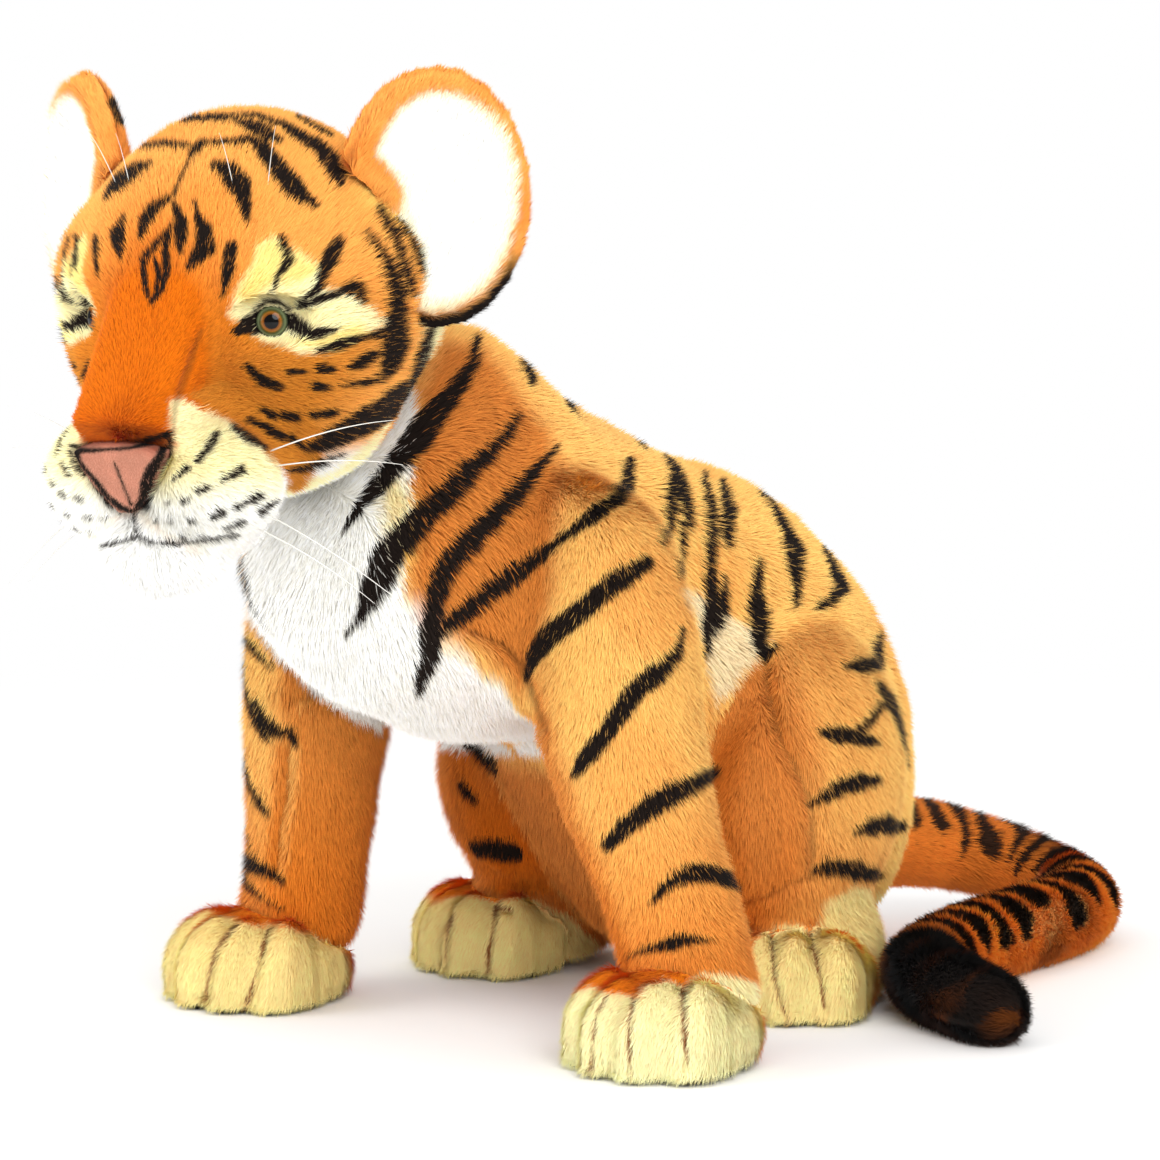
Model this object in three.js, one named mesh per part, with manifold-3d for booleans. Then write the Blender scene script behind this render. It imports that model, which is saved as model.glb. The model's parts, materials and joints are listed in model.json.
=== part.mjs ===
// A sitting plush tiger: stuffed forms that swell and taper, a head that turns in a dished neck,
// ears that fold at their base seams and a tail in three stuffed lengths that bends flat on the floor.
// Millimetres, +Z up. The tiger looks along -Y and its own left side is +X.
// The origin is on the middle plane, at the flat underside of the rump.
import * as THREE from "three";
import { mergeVertices } from "three/addons/utils/BufferGeometryUtils.js";
import Module from "manifold-3d";

const wasm = await Module();
wasm.setup();

// Clearances and cuts
const seamGap = 0.35;
const turnGap = 1;
const seatCut = 0.5;
const overrun = 60;
const weldGap = 1e-3;

// Torso: one form from the rump to the chest
const torso = { length: 394, behind: 105, height: 308, width: 180, squareness: 2.1 };
// Share of length from the rump, shares of height for back and belly, share of width
const torsoShares = [
  [0.045, 0.5, 0.04, 0.6],
  [0.135, 0.66, 0, 0.9],
  [0.255, 0.745, 0, 1],
  [0.356, 0.795, 0.03, 0.96],
  [0.458, 0.85, 0.2, 0.85],
  [0.56, 0.905, 0.36, 0.74],
  [0.656, 0.955, 0.41, 0.68],
  [0.758, 0.99, 0.42, 0.68],
  [0.847, 0.98, 0.47, 0.67],
  [0.916, 0.93, 0.51, 0.62],
  [0.964, 0.84, 0.575, 0.48],
];

// White chest and belly panel, let into the underside of the torso
const bib = { width: 104, depth: 16, startShare: 0.47 };

// Head: a round skull ahead of the chest, turned a little to the tiger's left in its dished seat
const head = { ahead: 26, above: 20, radius: 80, faceDepth: 66, turnDegrees: 8 };
// What is on the face stands ahead of the face's own depth by each piece's ahead
const muzzleBase = { width: 84, depth: 66, height: 80, ahead: -22, drop: 66 };
const bridge = { width: 46, thickness: 30, length: 58, ahead: -9, rise: 2, slopeDegrees: 27, squareness: 3 };
const bridgeShares = [0, 0.33, 0.66, 1];
const muzzlePad = { width: 56, depth: 54, height: 52, apart: 48, ahead: -6, drop: 70 };
const chin = { width: 60, depth: 50, height: 44, ahead: -7, drop: 95 };
const nose = { width: 42, height: 27, thickness: 9, round: 4, ahead: 17, drop: 54, leanDegrees: 14 };
const noseFlankShares = { across: 0.72, down: 0.5 };

// Eyes: domed, each on a stem that a locking washer holds from inside
const eye = { radius: 7.2, bulge: 5.2, apart: 87, drop: 5.5, sunk: 12.5, outwardDegrees: 30 };
const eyeSocket = { width: 34, depth: 20, height: 22, out: 9 };
const eyeStem = { radius: 2, length: 16 };
const eyeWasher = { radius: 8, thickness: 2.4, inset: 9 };

// Ears: a cupped plush back with a smaller lining set in its hollow
const ear = {
  width: 80, height: 107, thickness: 8, cup: 8, beyond: 4, behind: 14, rise: 43, outwardDegrees: 30,
};
const earLining = { rim: 5, thickness: 4 };
const earFold = { backDegrees: 12, forwardDegrees: 18, leanDegrees: 23, sideLeanDegrees: 12 };
const earHingeShares = { inward: 0.28, down: 0.16 };
const earRingShares = [0.35, 0.7, 1];

// Front legs: set back from the chest, splayed outwards to the paws
const frontLeg = { height: 258, thickness: 80, shoulderApart: 140, pawApart: 234, back: 112, bow: 15 };
// Share of height, share of the way out from shoulder to paw, share of thickness, share of bow
const frontLegShares = [
  [0.13, 0.98, 0.76, 1],
  [0.28, 0.76, 0.77, 0.7],
  [0.42, 0.53, 0.84, 0.2],
  [0.56, 0.36, 0.93, 0],
  [0.7, 0.22, 1, 0],
  [0.84, 0.08, 0.96, 0],
];
const ankleCapShare = 0.6;
const frontPaw = {
  width: 80, length: 98, height: 48, out: 2.7, ahead: 9.5, toes: 4, sole: 3.5, turnDegrees: 0,
};

// Hind legs, folded under the sitting body
const thigh = { width: 74, length: 124, height: 146, x: 79, ahead: 137, z: 106 };
const hindFoot = { width: 58, length: 98, height: 72, out: 4, ahead: -4 };
const hindPaw = {
  width: 80, length: 84, height: 46, out: 7, ahead: 28, toes: 4, sole: 3.5, turnDegrees: 13,
};

// Each paw's palm and toes, as shares of that paw's width, length and height
const palmShares = { width: 0.94, length: 0.86, height: 1.5, back: 0.07, rise: 0.25 };
const toeShares = { width: 0.37, length: 0.52, height: 0.9, forward: 0.2, fan: 0.11 };

// Tail: in three lengths from the rump round over the floor
const tail = { rootRadius: 22, radius: 19.5, endRadius: 17, spread: 205, sunk: 8 };
// Shares of the spread outwards and behind the root, and height as a share of the radius
const tailShares = {
  base: [
    [0, 0, 2.56], [0.02, 0.185, 2.46], [0.068, 0.366, 2.15], [0.166, 0.507, 1.64], [0.302, 0.532, 1.18],
  ],
  middle: [
    [0.302, 0.532, 1.18], [0.439, 0.424, 1], [0.519, 0.21, 1], [0.54, -0.034, 1], [0.575, -0.278, 1],
    [0.66, -0.541, 1],
  ],
  tip: [[0.66, -0.541, 1], [0.765, -0.64, 0.949], [0.87, -0.702, 0.88], [0.968, -0.737, 0.8]],
};
const tailSwing = { baseDegrees: 30, middleDegrees: 35, tipDegrees: 25 };
const bendReachShare = 1.7;

// Whiskers: nylon threads, four beside the muzzle and two above the eye
const whisker = { radius: 0.4, sag: 5 };
// Root and tip of each on the left side, as shares of the skull's radius
const whiskerShares = {
  cheek_1: [[0.5, -0.625, -0.75], [1.225, -0.45, -0.55]],
  cheek_2: [[0.51, -0.625, -0.81], [1.24, -0.4, -0.775]],
  cheek_3: [[0.475, -0.65, -1.09], [1.1, -0.45, -1.475]],
  cheek_4: [[0.49, -0.64, -1.0], [1.275, -0.4, -1.5]],
  brow_1: [[0.45, -0.45, 0.525], [0.6, -0.575, 0.91]],
  brow_2: [[0.325, -0.525, 0.5], [0.325, -0.675, 0.875]],
};
const whiskerBendShare = 0.55;

// Mesh detail
const bodySides = 28;
const limbSides = 16;
const trimSides = 12;
const threadSides = 4;

// Places that follow from the sizes
const chestFront = torso.behind - torso.length;
const headPlace = { y: chestFront - head.ahead, z: torso.height + head.above };
const frontLegPlace = { y: chestFront + frontLeg.back };
const frontPawPlace = { x: frontLeg.pawApart / 2 + frontPaw.out, y: frontLegPlace.y - frontPaw.ahead };
const thighPlace = { y: torso.behind - thigh.ahead };
const hindFootPlace = { x: thigh.x + hindFoot.out, y: thighPlace.y - hindFoot.ahead };
const hindPawPlace = { x: hindFootPlace.x + hindPaw.out, y: hindFootPlace.y - hindPaw.ahead };
const tailRootY = torso.behind - tail.sunk;

const finishes = {
  orangePlush: { color: 0xd9924a, roughness: 0.95, metalness: 0 },
  deepPlush: { color: 0xc8641e, roughness: 0.95, metalness: 0 },
  creamPlush: { color: 0xf6e3ab, roughness: 0.95, metalness: 0 },
  whitePlush: { color: 0xebe8e0, roughness: 0.95, metalness: 0 },
  darkPlush: { color: 0x2a211c, roughness: 0.95, metalness: 0 },
  noseVelour: { color: 0xdc9883, roughness: 0.7, metalness: 0 },
  eyePlastic: { color: 0x4c5a3c, roughness: 0.1, metalness: 0 },
  washerPlastic: { color: 0xd8d8d4, roughness: 0.5, metalness: 0 },
  nylon: { color: 0xf4f2ec, roughness: 0.3, metalness: 0 },
};

// A geometry with shared vertices only, as a solid needs it.
function weld(geometry) {
  const bare = geometry.clone();
  bare.deleteAttribute("normal");
  bare.deleteAttribute("uv");
  return mergeVertices(bare, weldGap);
}

function solidOf(geometry) {
  const welded = weld(geometry);
  const vertProperties = new Float32Array(welded.attributes.position.array);
  const triVerts = new Uint32Array(welded.index.array);
  return new wasm.Manifold(new wasm.Mesh({ numProp: 3, vertProperties, triVerts }));
}

function geometryOf(solid) {
  const mesh = solid.getMesh();
  const geometry = new THREE.BufferGeometry();
  geometry.setAttribute("position", new THREE.BufferAttribute(new Float32Array(mesh.vertProperties), 3));
  geometry.setIndex(new THREE.BufferAttribute(new Uint32Array(mesh.triVerts), 1));
  geometry.computeVertexNormals();
  return geometry;
}

// The bodies of a mesh: for each face, the number of the body that it is joined to over its edges
function bodiesOfFaces(index) {
  const count = index.length / 3;
  const leader = Array.from({ length: count }, (_, i) => i);
  const find = (face) => {
    let top = face;
    while (leader[top] !== top) {
      top = leader[top];
    }
    leader[face] = top;
    return top;
  };
  const faceAt = new Map();
  for (let face = 0; face < count; face += 1) {
    for (let k = 0; k < 3; k += 1) {
      const ends = [index[3 * face + k], index[3 * face + ((k + 1) % 3)]];
      const edge = `${Math.min(...ends)},${Math.max(...ends)}`;
      leader[find(face)] = find(faceAt.get(edge) ?? face);
      faceAt.set(edge, face);
    }
  }
  return Array.from({ length: count }, (_, face) => find(face));
}

// A cut can leave loose slivers beside the form: only the body with the most faces is the form.
function mainBody(geometry) {
  const welded = weld(geometry);
  const index = Array.from(welded.index.array);
  const bodies = bodiesOfFaces(index);
  const sizes = new Map();
  for (const body of bodies) {
    sizes.set(body, (sizes.get(body) ?? 0) + 1);
  }
  const [main] = [...sizes].reduce((a, b) => (b[1] > a[1] ? b : a), [-1, 0]);
  welded.setIndex(index.filter((_, corner) => bodies[Math.floor(corner / 3)] === main));
  welded.computeVertexNormals();
  return welded;
}

function cut(geometry, ...tools) {
  let solid = solidOf(geometry);
  for (const tool of tools) {
    solid = solid.subtract(solidOf(tool));
  }
  return mainBody(geometryOf(solid));
}

function join(first, ...others) {
  let solid = solidOf(first);
  for (const other of others) {
    solid = solid.add(solidOf(other));
  }
  return geometryOf(solid);
}

function overlap(first, second) {
  return mainBody(geometryOf(solidOf(first).intersect(solidOf(second))));
}

function named(name, geometry, finish) {
  const mesh = new THREE.Mesh(geometry, new THREE.MeshStandardMaterial(finishes[finish]));
  mesh.name = name;
  return mesh;
}

// A ring of a rounded section; squareness 2 is an ellipse.
function ringPoints({ center, side, up, wide, tall }, sides, squareness) {
  const points = [];
  for (let i = 0; i < sides; i += 1) {
    const angle = (2 * Math.PI * i) / sides;
    const c = Math.cos(angle);
    const s = Math.sin(angle);
    const a = Math.sign(c) * Math.abs(c) ** (2 / squareness) * wide;
    const b = Math.sign(s) * Math.abs(s) ** (2 / squareness) * tall;
    points.push(center.clone().addScaledVector(side, a).addScaledVector(up, b));
  }
  return points;
}

// Joins rings of equal counts into a closed skin between two poles.
function closedSkin(start, rings, end) {
  const points = [start, ...rings.flat(), end];
  const sides = rings[0].length;
  const index = [];
  const last = points.length - 1;
  for (let i = 0; i < sides; i += 1) {
    const next = (i + 1) % sides;
    index.push(0, 1 + next, 1 + i);
    for (let r = 0; r < rings.length - 1; r += 1) {
      const here = 1 + r * sides;
      const there = here + sides;
      index.push(here + i, here + next, there + i);
      index.push(here + next, there + next, there + i);
    }
    const edge = 1 + (rings.length - 1) * sides;
    index.push(last, edge + i, edge + next);
  }
  const geometry = new THREE.BufferGeometry().setFromPoints(points);
  geometry.setIndex(index);
  return geometry;
}

// A stuffed form swept through its stations, with a domed cap at each end.
// Stations hold a centre and two half sizes; axesOf gives the section's side and up directions.
function stuffedForm({ stations, axesOf, startCap, endCap, sides, rings, squareness = 2, capRings = 4 }) {
  const spine = new THREE.CatmullRomCurve3(stations.map((s) => s.center));
  const sizes = new THREE.CatmullRomCurve3(stations.map((s) => new THREE.Vector3(s.wide, s.tall, 0)));
  spine.curveType = "catmullrom";
  sizes.curveType = "catmullrom";
  const skin = [];
  const ringAt = (t, shift, share) => {
    const tangent = spine.getTangent(t).normalize();
    const { side, up } = axesOf(tangent);
    const size = sizes.getPoint(t);
    const center = spine.getPoint(t).addScaledVector(tangent, shift);
    return ringPoints({ center, side, up, wide: size.x * share, tall: size.y * share }, sides, squareness);
  };
  for (let i = capRings - 1; i > 0; i -= 1) {
    const angle = (Math.PI / 2) * (i / capRings);
    skin.push(ringAt(0, -startCap * Math.sin(angle), Math.cos(angle)));
  }
  for (let i = 0; i <= rings; i += 1) {
    skin.push(ringAt(i / rings, 0, 1));
  }
  for (let i = 1; i < capRings; i += 1) {
    const angle = (Math.PI / 2) * (i / capRings);
    skin.push(ringAt(1, endCap * Math.sin(angle), Math.cos(angle)));
  }
  const start = spine.getPoint(0).addScaledVector(spine.getTangent(0).normalize(), -startCap);
  const end = spine.getPoint(1).addScaledVector(spine.getTangent(1).normalize(), endCap);
  return closedSkin(start, skin, end);
}

const xAxis = new THREE.Vector3(1, 0, 0);
const yAxis = new THREE.Vector3(0, 1, 0);
const zAxis = new THREE.Vector3(0, 0, 1);

function degrees(value) {
  return THREE.MathUtils.degToRad(value);
}

// An ellipsoid of the given sizes about a place, grown all round for a clearance
function ellipsoid({ width, depth, height }, x, y, z, grow = 0, across = limbSides, down = 12) {
  const geometry = new THREE.SphereGeometry(1, across, down);
  geometry.rotateX(Math.PI / 2);
  geometry.scale(width / 2 + grow, depth / 2 + grow, height / 2 + grow);
  geometry.translate(x, y, z);
  return geometry;
}

// Everything below the given height, for flat undersides.
function floorBlock(height) {
  const size = torso.length * 4;
  const block = new THREE.BoxGeometry(size, size, size);
  block.translate(0, 0, height - size / 2);
  return block;
}

function mirrored(geometry, side) {
  if (side > 0) {
    return geometry;
  }
  const flipped = weld(geometry);
  flipped.scale(-1, 1, 1);
  const index = flipped.index.array;
  for (let i = 0; i < index.length; i += 3) {
    [index[i], index[i + 1]] = [index[i + 1], index[i]];
  }
  return flipped;
}

// The torso's outer form, before anything is let into it
function torsoForm(grow = 0) {
  const stations = torsoShares.map(([along, back, belly, width]) => ({
    center: new THREE.Vector3(
      0,
      torso.behind - along * torso.length,
      ((back + belly) * torso.height - seatCut) / 2,
    ),
    wide: (width * torso.width) / 2 + grow,
    tall: ((back - belly) * torso.height + seatCut) / 2 + grow,
  }));
  return stuffedForm({
    stations,
    axesOf: () => ({ side: xAxis, up: zAxis }),
    startCap: torsoShares[0][0] * torso.length + grow,
    endCap: (1 - torsoShares[torsoShares.length - 1][0]) * torso.length + grow,
    sides: bodySides,
    rings: 18,
    squareness: torso.squareness,
  });
}

// The space of the chest and belly panel: a slab that follows the torso's underside
function bibSpace(grow = 0) {
  const outline = new THREE.Shape();
  const lower = torsoShares.filter(([along]) => along >= bib.startShare);
  const start = torso.behind - bib.startShare * torso.length + grow;
  const front = chestFront;
  outline.moveTo(start, -overrun);
  const inner = lower.map(([along, , belly]) => [torso.behind - along * torso.length, belly * torso.height]);
  outline.lineTo(start, inner[0][1] + bib.depth + grow);
  for (const [y, z] of inner) {
    outline.lineTo(y + bib.depth + grow, z + bib.depth + grow);
  }
  outline.lineTo(front + bib.depth + grow, headPlace.z);
  outline.lineTo(front - overrun, headPlace.z);
  outline.lineTo(front - overrun, -overrun);
  const slab = new THREE.ExtrudeGeometry(outline, { depth: bib.width + 2 * grow, bevelEnabled: false });
  slab.translate(0, 0, -bib.width / 2 - grow);
  slab.applyMatrix4(new THREE.Matrix4().makeBasis(yAxis, zAxis, xAxis));
  return slab;
}

// The round seat that the skull turns in
function headSeat() {
  const seat = new THREE.SphereGeometry(head.radius + turnGap, 32, 22);
  seat.translate(0, headPlace.y, headPlace.z);
  return seat;
}

function makeTorso() {
  const group = new THREE.Group();
  const body = cut(torsoForm(), floorBlock(0), headSeat());
  group.add(named("torso", cut(body, bibSpace(seamGap)), "orangePlush"));
  group.add(named("chest_panel", overlap(body, bibSpace()), "whitePlush"));
  return group;
}

// The skull: round behind, flatter in the face
function skull(grow = 0) {
  const geometry = new THREE.SphereGeometry(head.radius + grow, bodySides, 20);
  geometry.rotateX(Math.PI / 2);
  const flat = (head.faceDepth + grow) / (head.radius + grow);
  const place = geometry.attributes.position;
  for (let i = 0; i < place.count; i += 1) {
    if (place.getY(i) < 0) {
      place.setY(i, place.getY(i) * flat);
    }
  }
  return geometry;
}

function headForm(grow = 0) {
  const y = -head.faceDepth - muzzleBase.ahead;
  return join(skull(grow), ellipsoid(muzzleBase, 0, y, -muzzleBase.drop, grow));
}

// The bridge: a firm wedge that runs down the face to the nose
function bridgeForm(grow = 0) {
  const slope = degrees(bridge.slopeDegrees);
  const along = new THREE.Vector3(0, -Math.sin(slope), -Math.cos(slope));
  const start = new THREE.Vector3(0, -head.faceDepth - bridge.ahead, bridge.rise);
  const stations = bridgeShares.map((share) => ({
    center: start.clone().addScaledVector(along, share * bridge.length),
    wide: bridge.width / 2 + grow,
    tall: bridge.thickness / 2 + grow,
  }));
  return stuffedForm({
    stations,
    axesOf: (tangent) => ({ side: xAxis, up: tangent.clone().cross(xAxis) }),
    startCap: bridge.thickness / 2 + grow,
    endCap: nose.round + grow,
    sides: limbSides,
    rings: 4,
    squareness: bridge.squareness,
    capRings: 3,
  });
}

// One of the two stuffed pads that the whiskers grow from
function padForm(side, grow = 0) {
  const x = (side * muzzlePad.apart) / 2;
  return ellipsoid(muzzlePad, x, -head.faceDepth - muzzlePad.ahead, -muzzlePad.drop, grow);
}

function chinForm(grow = 0) {
  return ellipsoid(chin, 0, -head.faceDepth - chin.ahead, -chin.drop, grow);
}

// The nose: a rounded triangle of velour, thicker than it looks, let into the muzzle
function noseForm(grow = 0) {
  const half = nose.width / 2 - nose.round;
  const low = nose.height - 2 * nose.round;
  const outline = new THREE.Shape();
  outline.moveTo(-half, 0);
  outline.quadraticCurveTo(0, nose.round, half, 0);
  const flank = { x: half * noseFlankShares.across, y: -low * noseFlankShares.down };
  outline.quadraticCurveTo(flank.x, flank.y, nose.round / 2, -low);
  outline.lineTo(-nose.round / 2, -low);
  outline.quadraticCurveTo(-flank.x, flank.y, -half, 0);
  const geometry = new THREE.ExtrudeGeometry(outline, {
    depth: nose.thickness - nose.round,
    bevelThickness: nose.round + grow,
    bevelSize: nose.round + grow,
    bevelSegments: 3,
    curveSegments: 5,
  });
  geometry.rotateX(Math.PI / 2 + degrees(nose.leanDegrees));
  geometry.translate(0, -head.faceDepth - nose.ahead, -nose.drop - nose.round);
  return geometry;
}

// Turns a shape made round +Z so that it points out of the face at an eye
function atEye(geometry, side) {
  const placed = geometry.clone();
  placed.rotateX(Math.PI / 2);
  placed.rotateZ(degrees(side * eye.outwardDegrees));
  const inFace = Math.hypot(eye.apart / 2, eye.drop) / head.radius;
  const depth = head.faceDepth * Math.sqrt(1 - inFace * inFace);
  placed.translate((side * eye.apart) / 2, eye.sunk - depth, -eye.drop);
  return placed;
}

// The hollow of the face round an eye
function socketForm(side) {
  const { width, depth, height, out } = eyeSocket;
  const across = { width, depth: height, height: depth };
  return atEye(ellipsoid(across, 0, 0, out, 0, trimSides, 10), side);
}

// A domed plastic eye with its stem
function eyeForm(side, grow = 0) {
  const r = eye.radius + grow;
  const profile = [new THREE.Vector2(0, -eyeStem.length - grow)];
  profile.push(new THREE.Vector2(eyeStem.radius + grow, -eyeStem.length - grow));
  profile.push(new THREE.Vector2(eyeStem.radius + grow, -grow));
  profile.push(new THREE.Vector2(r, -grow));
  const steps = 4;
  for (let i = 0; i <= steps; i += 1) {
    const angle = (Math.PI / 2) * (i / steps);
    profile.push(new THREE.Vector2(r * Math.cos(angle), (eye.bulge + grow) * Math.sin(angle)));
  }
  profile[profile.length - 1].x = 0;
  const dome = new THREE.LatheGeometry(profile, trimSides);
  dome.rotateX(Math.PI / 2);
  return atEye(dome, side);
}

// The locking washer that holds the eye from inside the stuffing
function washerForm(side, grow = 0) {
  const inner = eyeStem.radius + seamGap - grow;
  const outer = eyeWasher.radius + grow;
  const half = eyeWasher.thickness / 2 + grow;
  const bore = Math.max(inner, eyeStem.radius / 2);
  const profile = [[bore, -half], [outer, -half], [outer, half], [bore, half], [bore, -half]];
  const ring = new THREE.LatheGeometry(profile.map(([x, y]) => new THREE.Vector2(x, y)), trimSides);
  ring.rotateX(Math.PI / 2);
  ring.translate(0, 0, -eyeWasher.inset - half);
  return atEye(ring, side);
}

// The line that an ear folds about, in the head's own frame
function earHinge(side) {
  const lean = degrees(earFold.leanDegrees);
  const sideLean = degrees(earFold.sideLeanDegrees);
  const axis = new THREE.Vector3(-Math.sin(lean) * side, -Math.sin(sideLean), Math.cos(lean)).normalize();
  const yaw = degrees(ear.outwardDegrees);
  const inward = ear.width * earHingeShares.inward;
  const point = new THREE.Vector3(
    side * (head.radius + ear.beyond - Math.cos(yaw) * inward),
    ear.behind - Math.sin(yaw) * inward,
    ear.rise - ear.height * earHingeShares.down,
  );
  return { axis, point };
}

// The head's form as the ear meets it while it folds, joined over its whole range
function foldedHead(side, grow) {
  const { axis, point } = earHinge(side);
  const steps = 3;
  const range = earFold.backDegrees + earFold.forwardDegrees;
  const copies = [];
  for (let i = 0; i <= steps; i += 1) {
    const angle = side * degrees(-earFold.backDegrees + (range * i) / steps);
    const copy = headForm(grow);
    copy.translate(-point.x, -point.y, -point.z);
    copy.applyMatrix4(new THREE.Matrix4().makeRotationAxis(axis, angle));
    copy.translate(point.x, point.y, point.z);
    copies.push(copy);
  }
  return join(copies[0], ...copies.slice(1));
}

// A cupped oval pad that faces forward and outwards
function cuppedPad(side, width, height, thickness, setBack) {
  const half = thickness / 2;
  const flat = width / 2 - half;
  const profile = [new THREE.Vector2(0, -half)];
  for (const share of earRingShares) {
    profile.push(new THREE.Vector2(flat * share, -half));
  }
  profile.push(new THREE.Vector2(flat + half, 0));
  for (const share of earRingShares.toReversed()) {
    profile.push(new THREE.Vector2(flat * share, half));
  }
  profile.push(new THREE.Vector2(0, half));
  const pad = new THREE.LatheGeometry(profile, 22);
  pad.scale(1, 1, height / width);
  const place = pad.attributes.position;
  for (let i = 0; i < place.count; i += 1) {
    const out = (2 * place.getX(i)) / ear.width;
    const rise = (2 * place.getZ(i)) / ear.height;
    const cup = ear.cup * (out * out + rise * rise);
    place.setY(i, place.getY(i) - cup + setBack);
  }
  pad.rotateZ(degrees(side * ear.outwardDegrees));
  pad.translate(side * (head.radius + ear.beyond), ear.behind, ear.rise);
  return pad;
}

function makeEar(side, sideName) {
  const group = new THREE.Group();
  const base = foldedHead(side, seamGap);
  const back = cuppedPad(side, ear.width, ear.height, ear.thickness, 0);
  const inside = -(ear.thickness + earLining.thickness) / 2 - seamGap;
  const small = earLining.rim * 2;
  const lining = cuppedPad(side, ear.width - small, ear.height - small, earLining.thickness, inside);
  group.add(named(`ear_back_${sideName}`, cut(back, base), "orangePlush"));
  group.add(named(`ear_lining_${sideName}`, cut(lining, base), "whitePlush"));
  return group;
}

// A nylon whisker: a thin thread that droops between its root and its tip
function makeWhisker(name, side, [root, tip]) {
  const from = new THREE.Vector3(side * root[0], root[1], root[2]).multiplyScalar(head.radius);
  const to = new THREE.Vector3(side * tip[0], tip[1], tip[2]).multiplyScalar(head.radius);
  const bend = from.clone().lerp(to, whiskerBendShare).addScaledVector(zAxis, whisker.sag);
  const route = new THREE.QuadraticBezierCurve3(from, bend, to);
  const section = new THREE.Shape();
  for (let i = 0; i <= threadSides; i += 1) {
    const angle = (2 * Math.PI * i) / threadSides;
    const x = whisker.radius * Math.cos(angle);
    const y = whisker.radius * Math.sin(angle);
    if (i === 0) {
      section.moveTo(x, y);
    } else {
      section.lineTo(x, y);
    }
  }
  const thread = new THREE.ExtrudeGeometry(section, { steps: 4, extrudePath: route, bevelEnabled: false });
  const skin = [headForm(seamGap), padForm(side, seamGap)];
  return named(name, cut(thread, ...skin), "nylon");
}

function makeHead() {
  const group = new THREE.Group();
  const sides = [[1, "left"], [-1, "right"]];
  let form = headForm();
  let bridgeSolid = cut(bridgeForm(), headForm(seamGap));
  for (const [side] of sides) {
    form = cut(form, socketForm(side), eyeForm(side, seamGap), washerForm(side, seamGap));
    bridgeSolid = cut(bridgeSolid, socketForm(side), eyeForm(side, seamGap));
  }
  group.add(named("head", form, "orangePlush"));
  group.add(named("nose_bridge", bridgeSolid, "deepPlush"));
  const noseSolid = cut(noseForm(), headForm(seamGap), bridgeForm(seamGap));
  group.add(named("nose", noseSolid, "noseVelour"));
  const behindPads = [headForm(seamGap), bridgeForm(seamGap), noseForm(seamGap)];
  const left = cut(padForm(1), ...behindPads);
  const right = cut(padForm(-1), ...behindPads, padForm(1, seamGap));
  const middle = new THREE.BoxGeometry(seamGap, overrun * 4, overrun * 4);
  group.add(named("muzzle_left", cut(left, padForm(-1, seamGap), middle), "creamPlush"));
  group.add(named("muzzle_right", cut(right, middle), "creamPlush"));
  const abovePads = [padForm(1, seamGap), padForm(-1, seamGap), noseForm(seamGap)];
  const chinSolid = cut(chinForm(), headForm(seamGap), ...abovePads);
  group.add(named("chin", chinSolid, "whitePlush"));
  for (const [side, sideName] of sides) {
    group.add(named(`eye_${sideName}`, eyeForm(side), "eyePlastic"));
    group.add(named(`eye_washer_${sideName}`, washerForm(side), "washerPlastic"));
    group.add(makeEar(side, sideName));
    for (const [name, route] of Object.entries(whiskerShares)) {
      group.add(makeWhisker(`whisker_${name}_${sideName}`, side, route));
    }
  }
  group.position.set(0, headPlace.y, headPlace.z);
  group.rotation.z = degrees(head.turnDegrees);
  return group;
}

function frontLegForm(grow = 0) {
  const stations = frontLegShares.map(([up, out, thick, back]) => ({
    center: new THREE.Vector3(
      THREE.MathUtils.lerp(frontLeg.shoulderApart, frontLeg.pawApart, out) / 2,
      frontLegPlace.y + back * frontLeg.bow,
      up * frontLeg.height,
    ),
    wide: (thick * frontLeg.thickness) / 2 + grow,
    tall: (thick * frontLeg.thickness) / 2 + grow,
  }));
  return stuffedForm({
    stations,
    axesOf: () => ({ side: xAxis, up: yAxis }),
    startCap: frontLegShares[0][0] * frontLeg.height * ankleCapShare + grow,
    endCap: (1 - frontLegShares[frontLegShares.length - 1][0]) * frontLeg.height + grow,
    sides: limbSides,
    rings: 10,
  });
}

// A paw: stuffed toes drawn in side by side in front of a rounded palm
function pawForm(paw, grow = 0) {
  const palm = {
    width: paw.width * palmShares.width,
    depth: paw.length * palmShares.length,
    height: paw.height * palmShares.height,
  };
  const toe = {
    width: paw.width * toeShares.width,
    depth: paw.length * toeShares.length,
    height: paw.height * 2 * toeShares.height,
  };
  const toes = [];
  for (let i = 0; i < paw.toes; i += 1) {
    const place = i / (paw.toes - 1) - 0.5;
    const form = ellipsoid(toe, place * (paw.width - toe.width), 0, 0, grow, 10, 10);
    const setBack = Math.abs(place) * 2 * toeShares.fan * paw.length;
    form.rotateZ(place * toeShares.fan * Math.PI);
    form.translate(0, -paw.length * toeShares.forward + setBack, 0);
    toes.push(form);
  }
  const back = paw.length * palmShares.back;
  return join(ellipsoid(palm, 0, back, paw.height * palmShares.rise, grow, limbSides, 8), ...toes);
}

function placedPaw(geometry, paw, { x, y }) {
  const moved = geometry.clone();
  moved.rotateZ(degrees(paw.turnDegrees));
  moved.translate(x, y, 0);
  return moved;
}

// The dark sole: the paw's own outline, a little drawn in, as a flat pad
function soleForm(paw) {
  const slice = new THREE.BoxGeometry(paw.width * 2, paw.length * 2, paw.sole);
  slice.translate(0, 0, paw.sole / 2);
  return overlap(pawForm(paw, -paw.sole / 2), slice);
}

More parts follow.
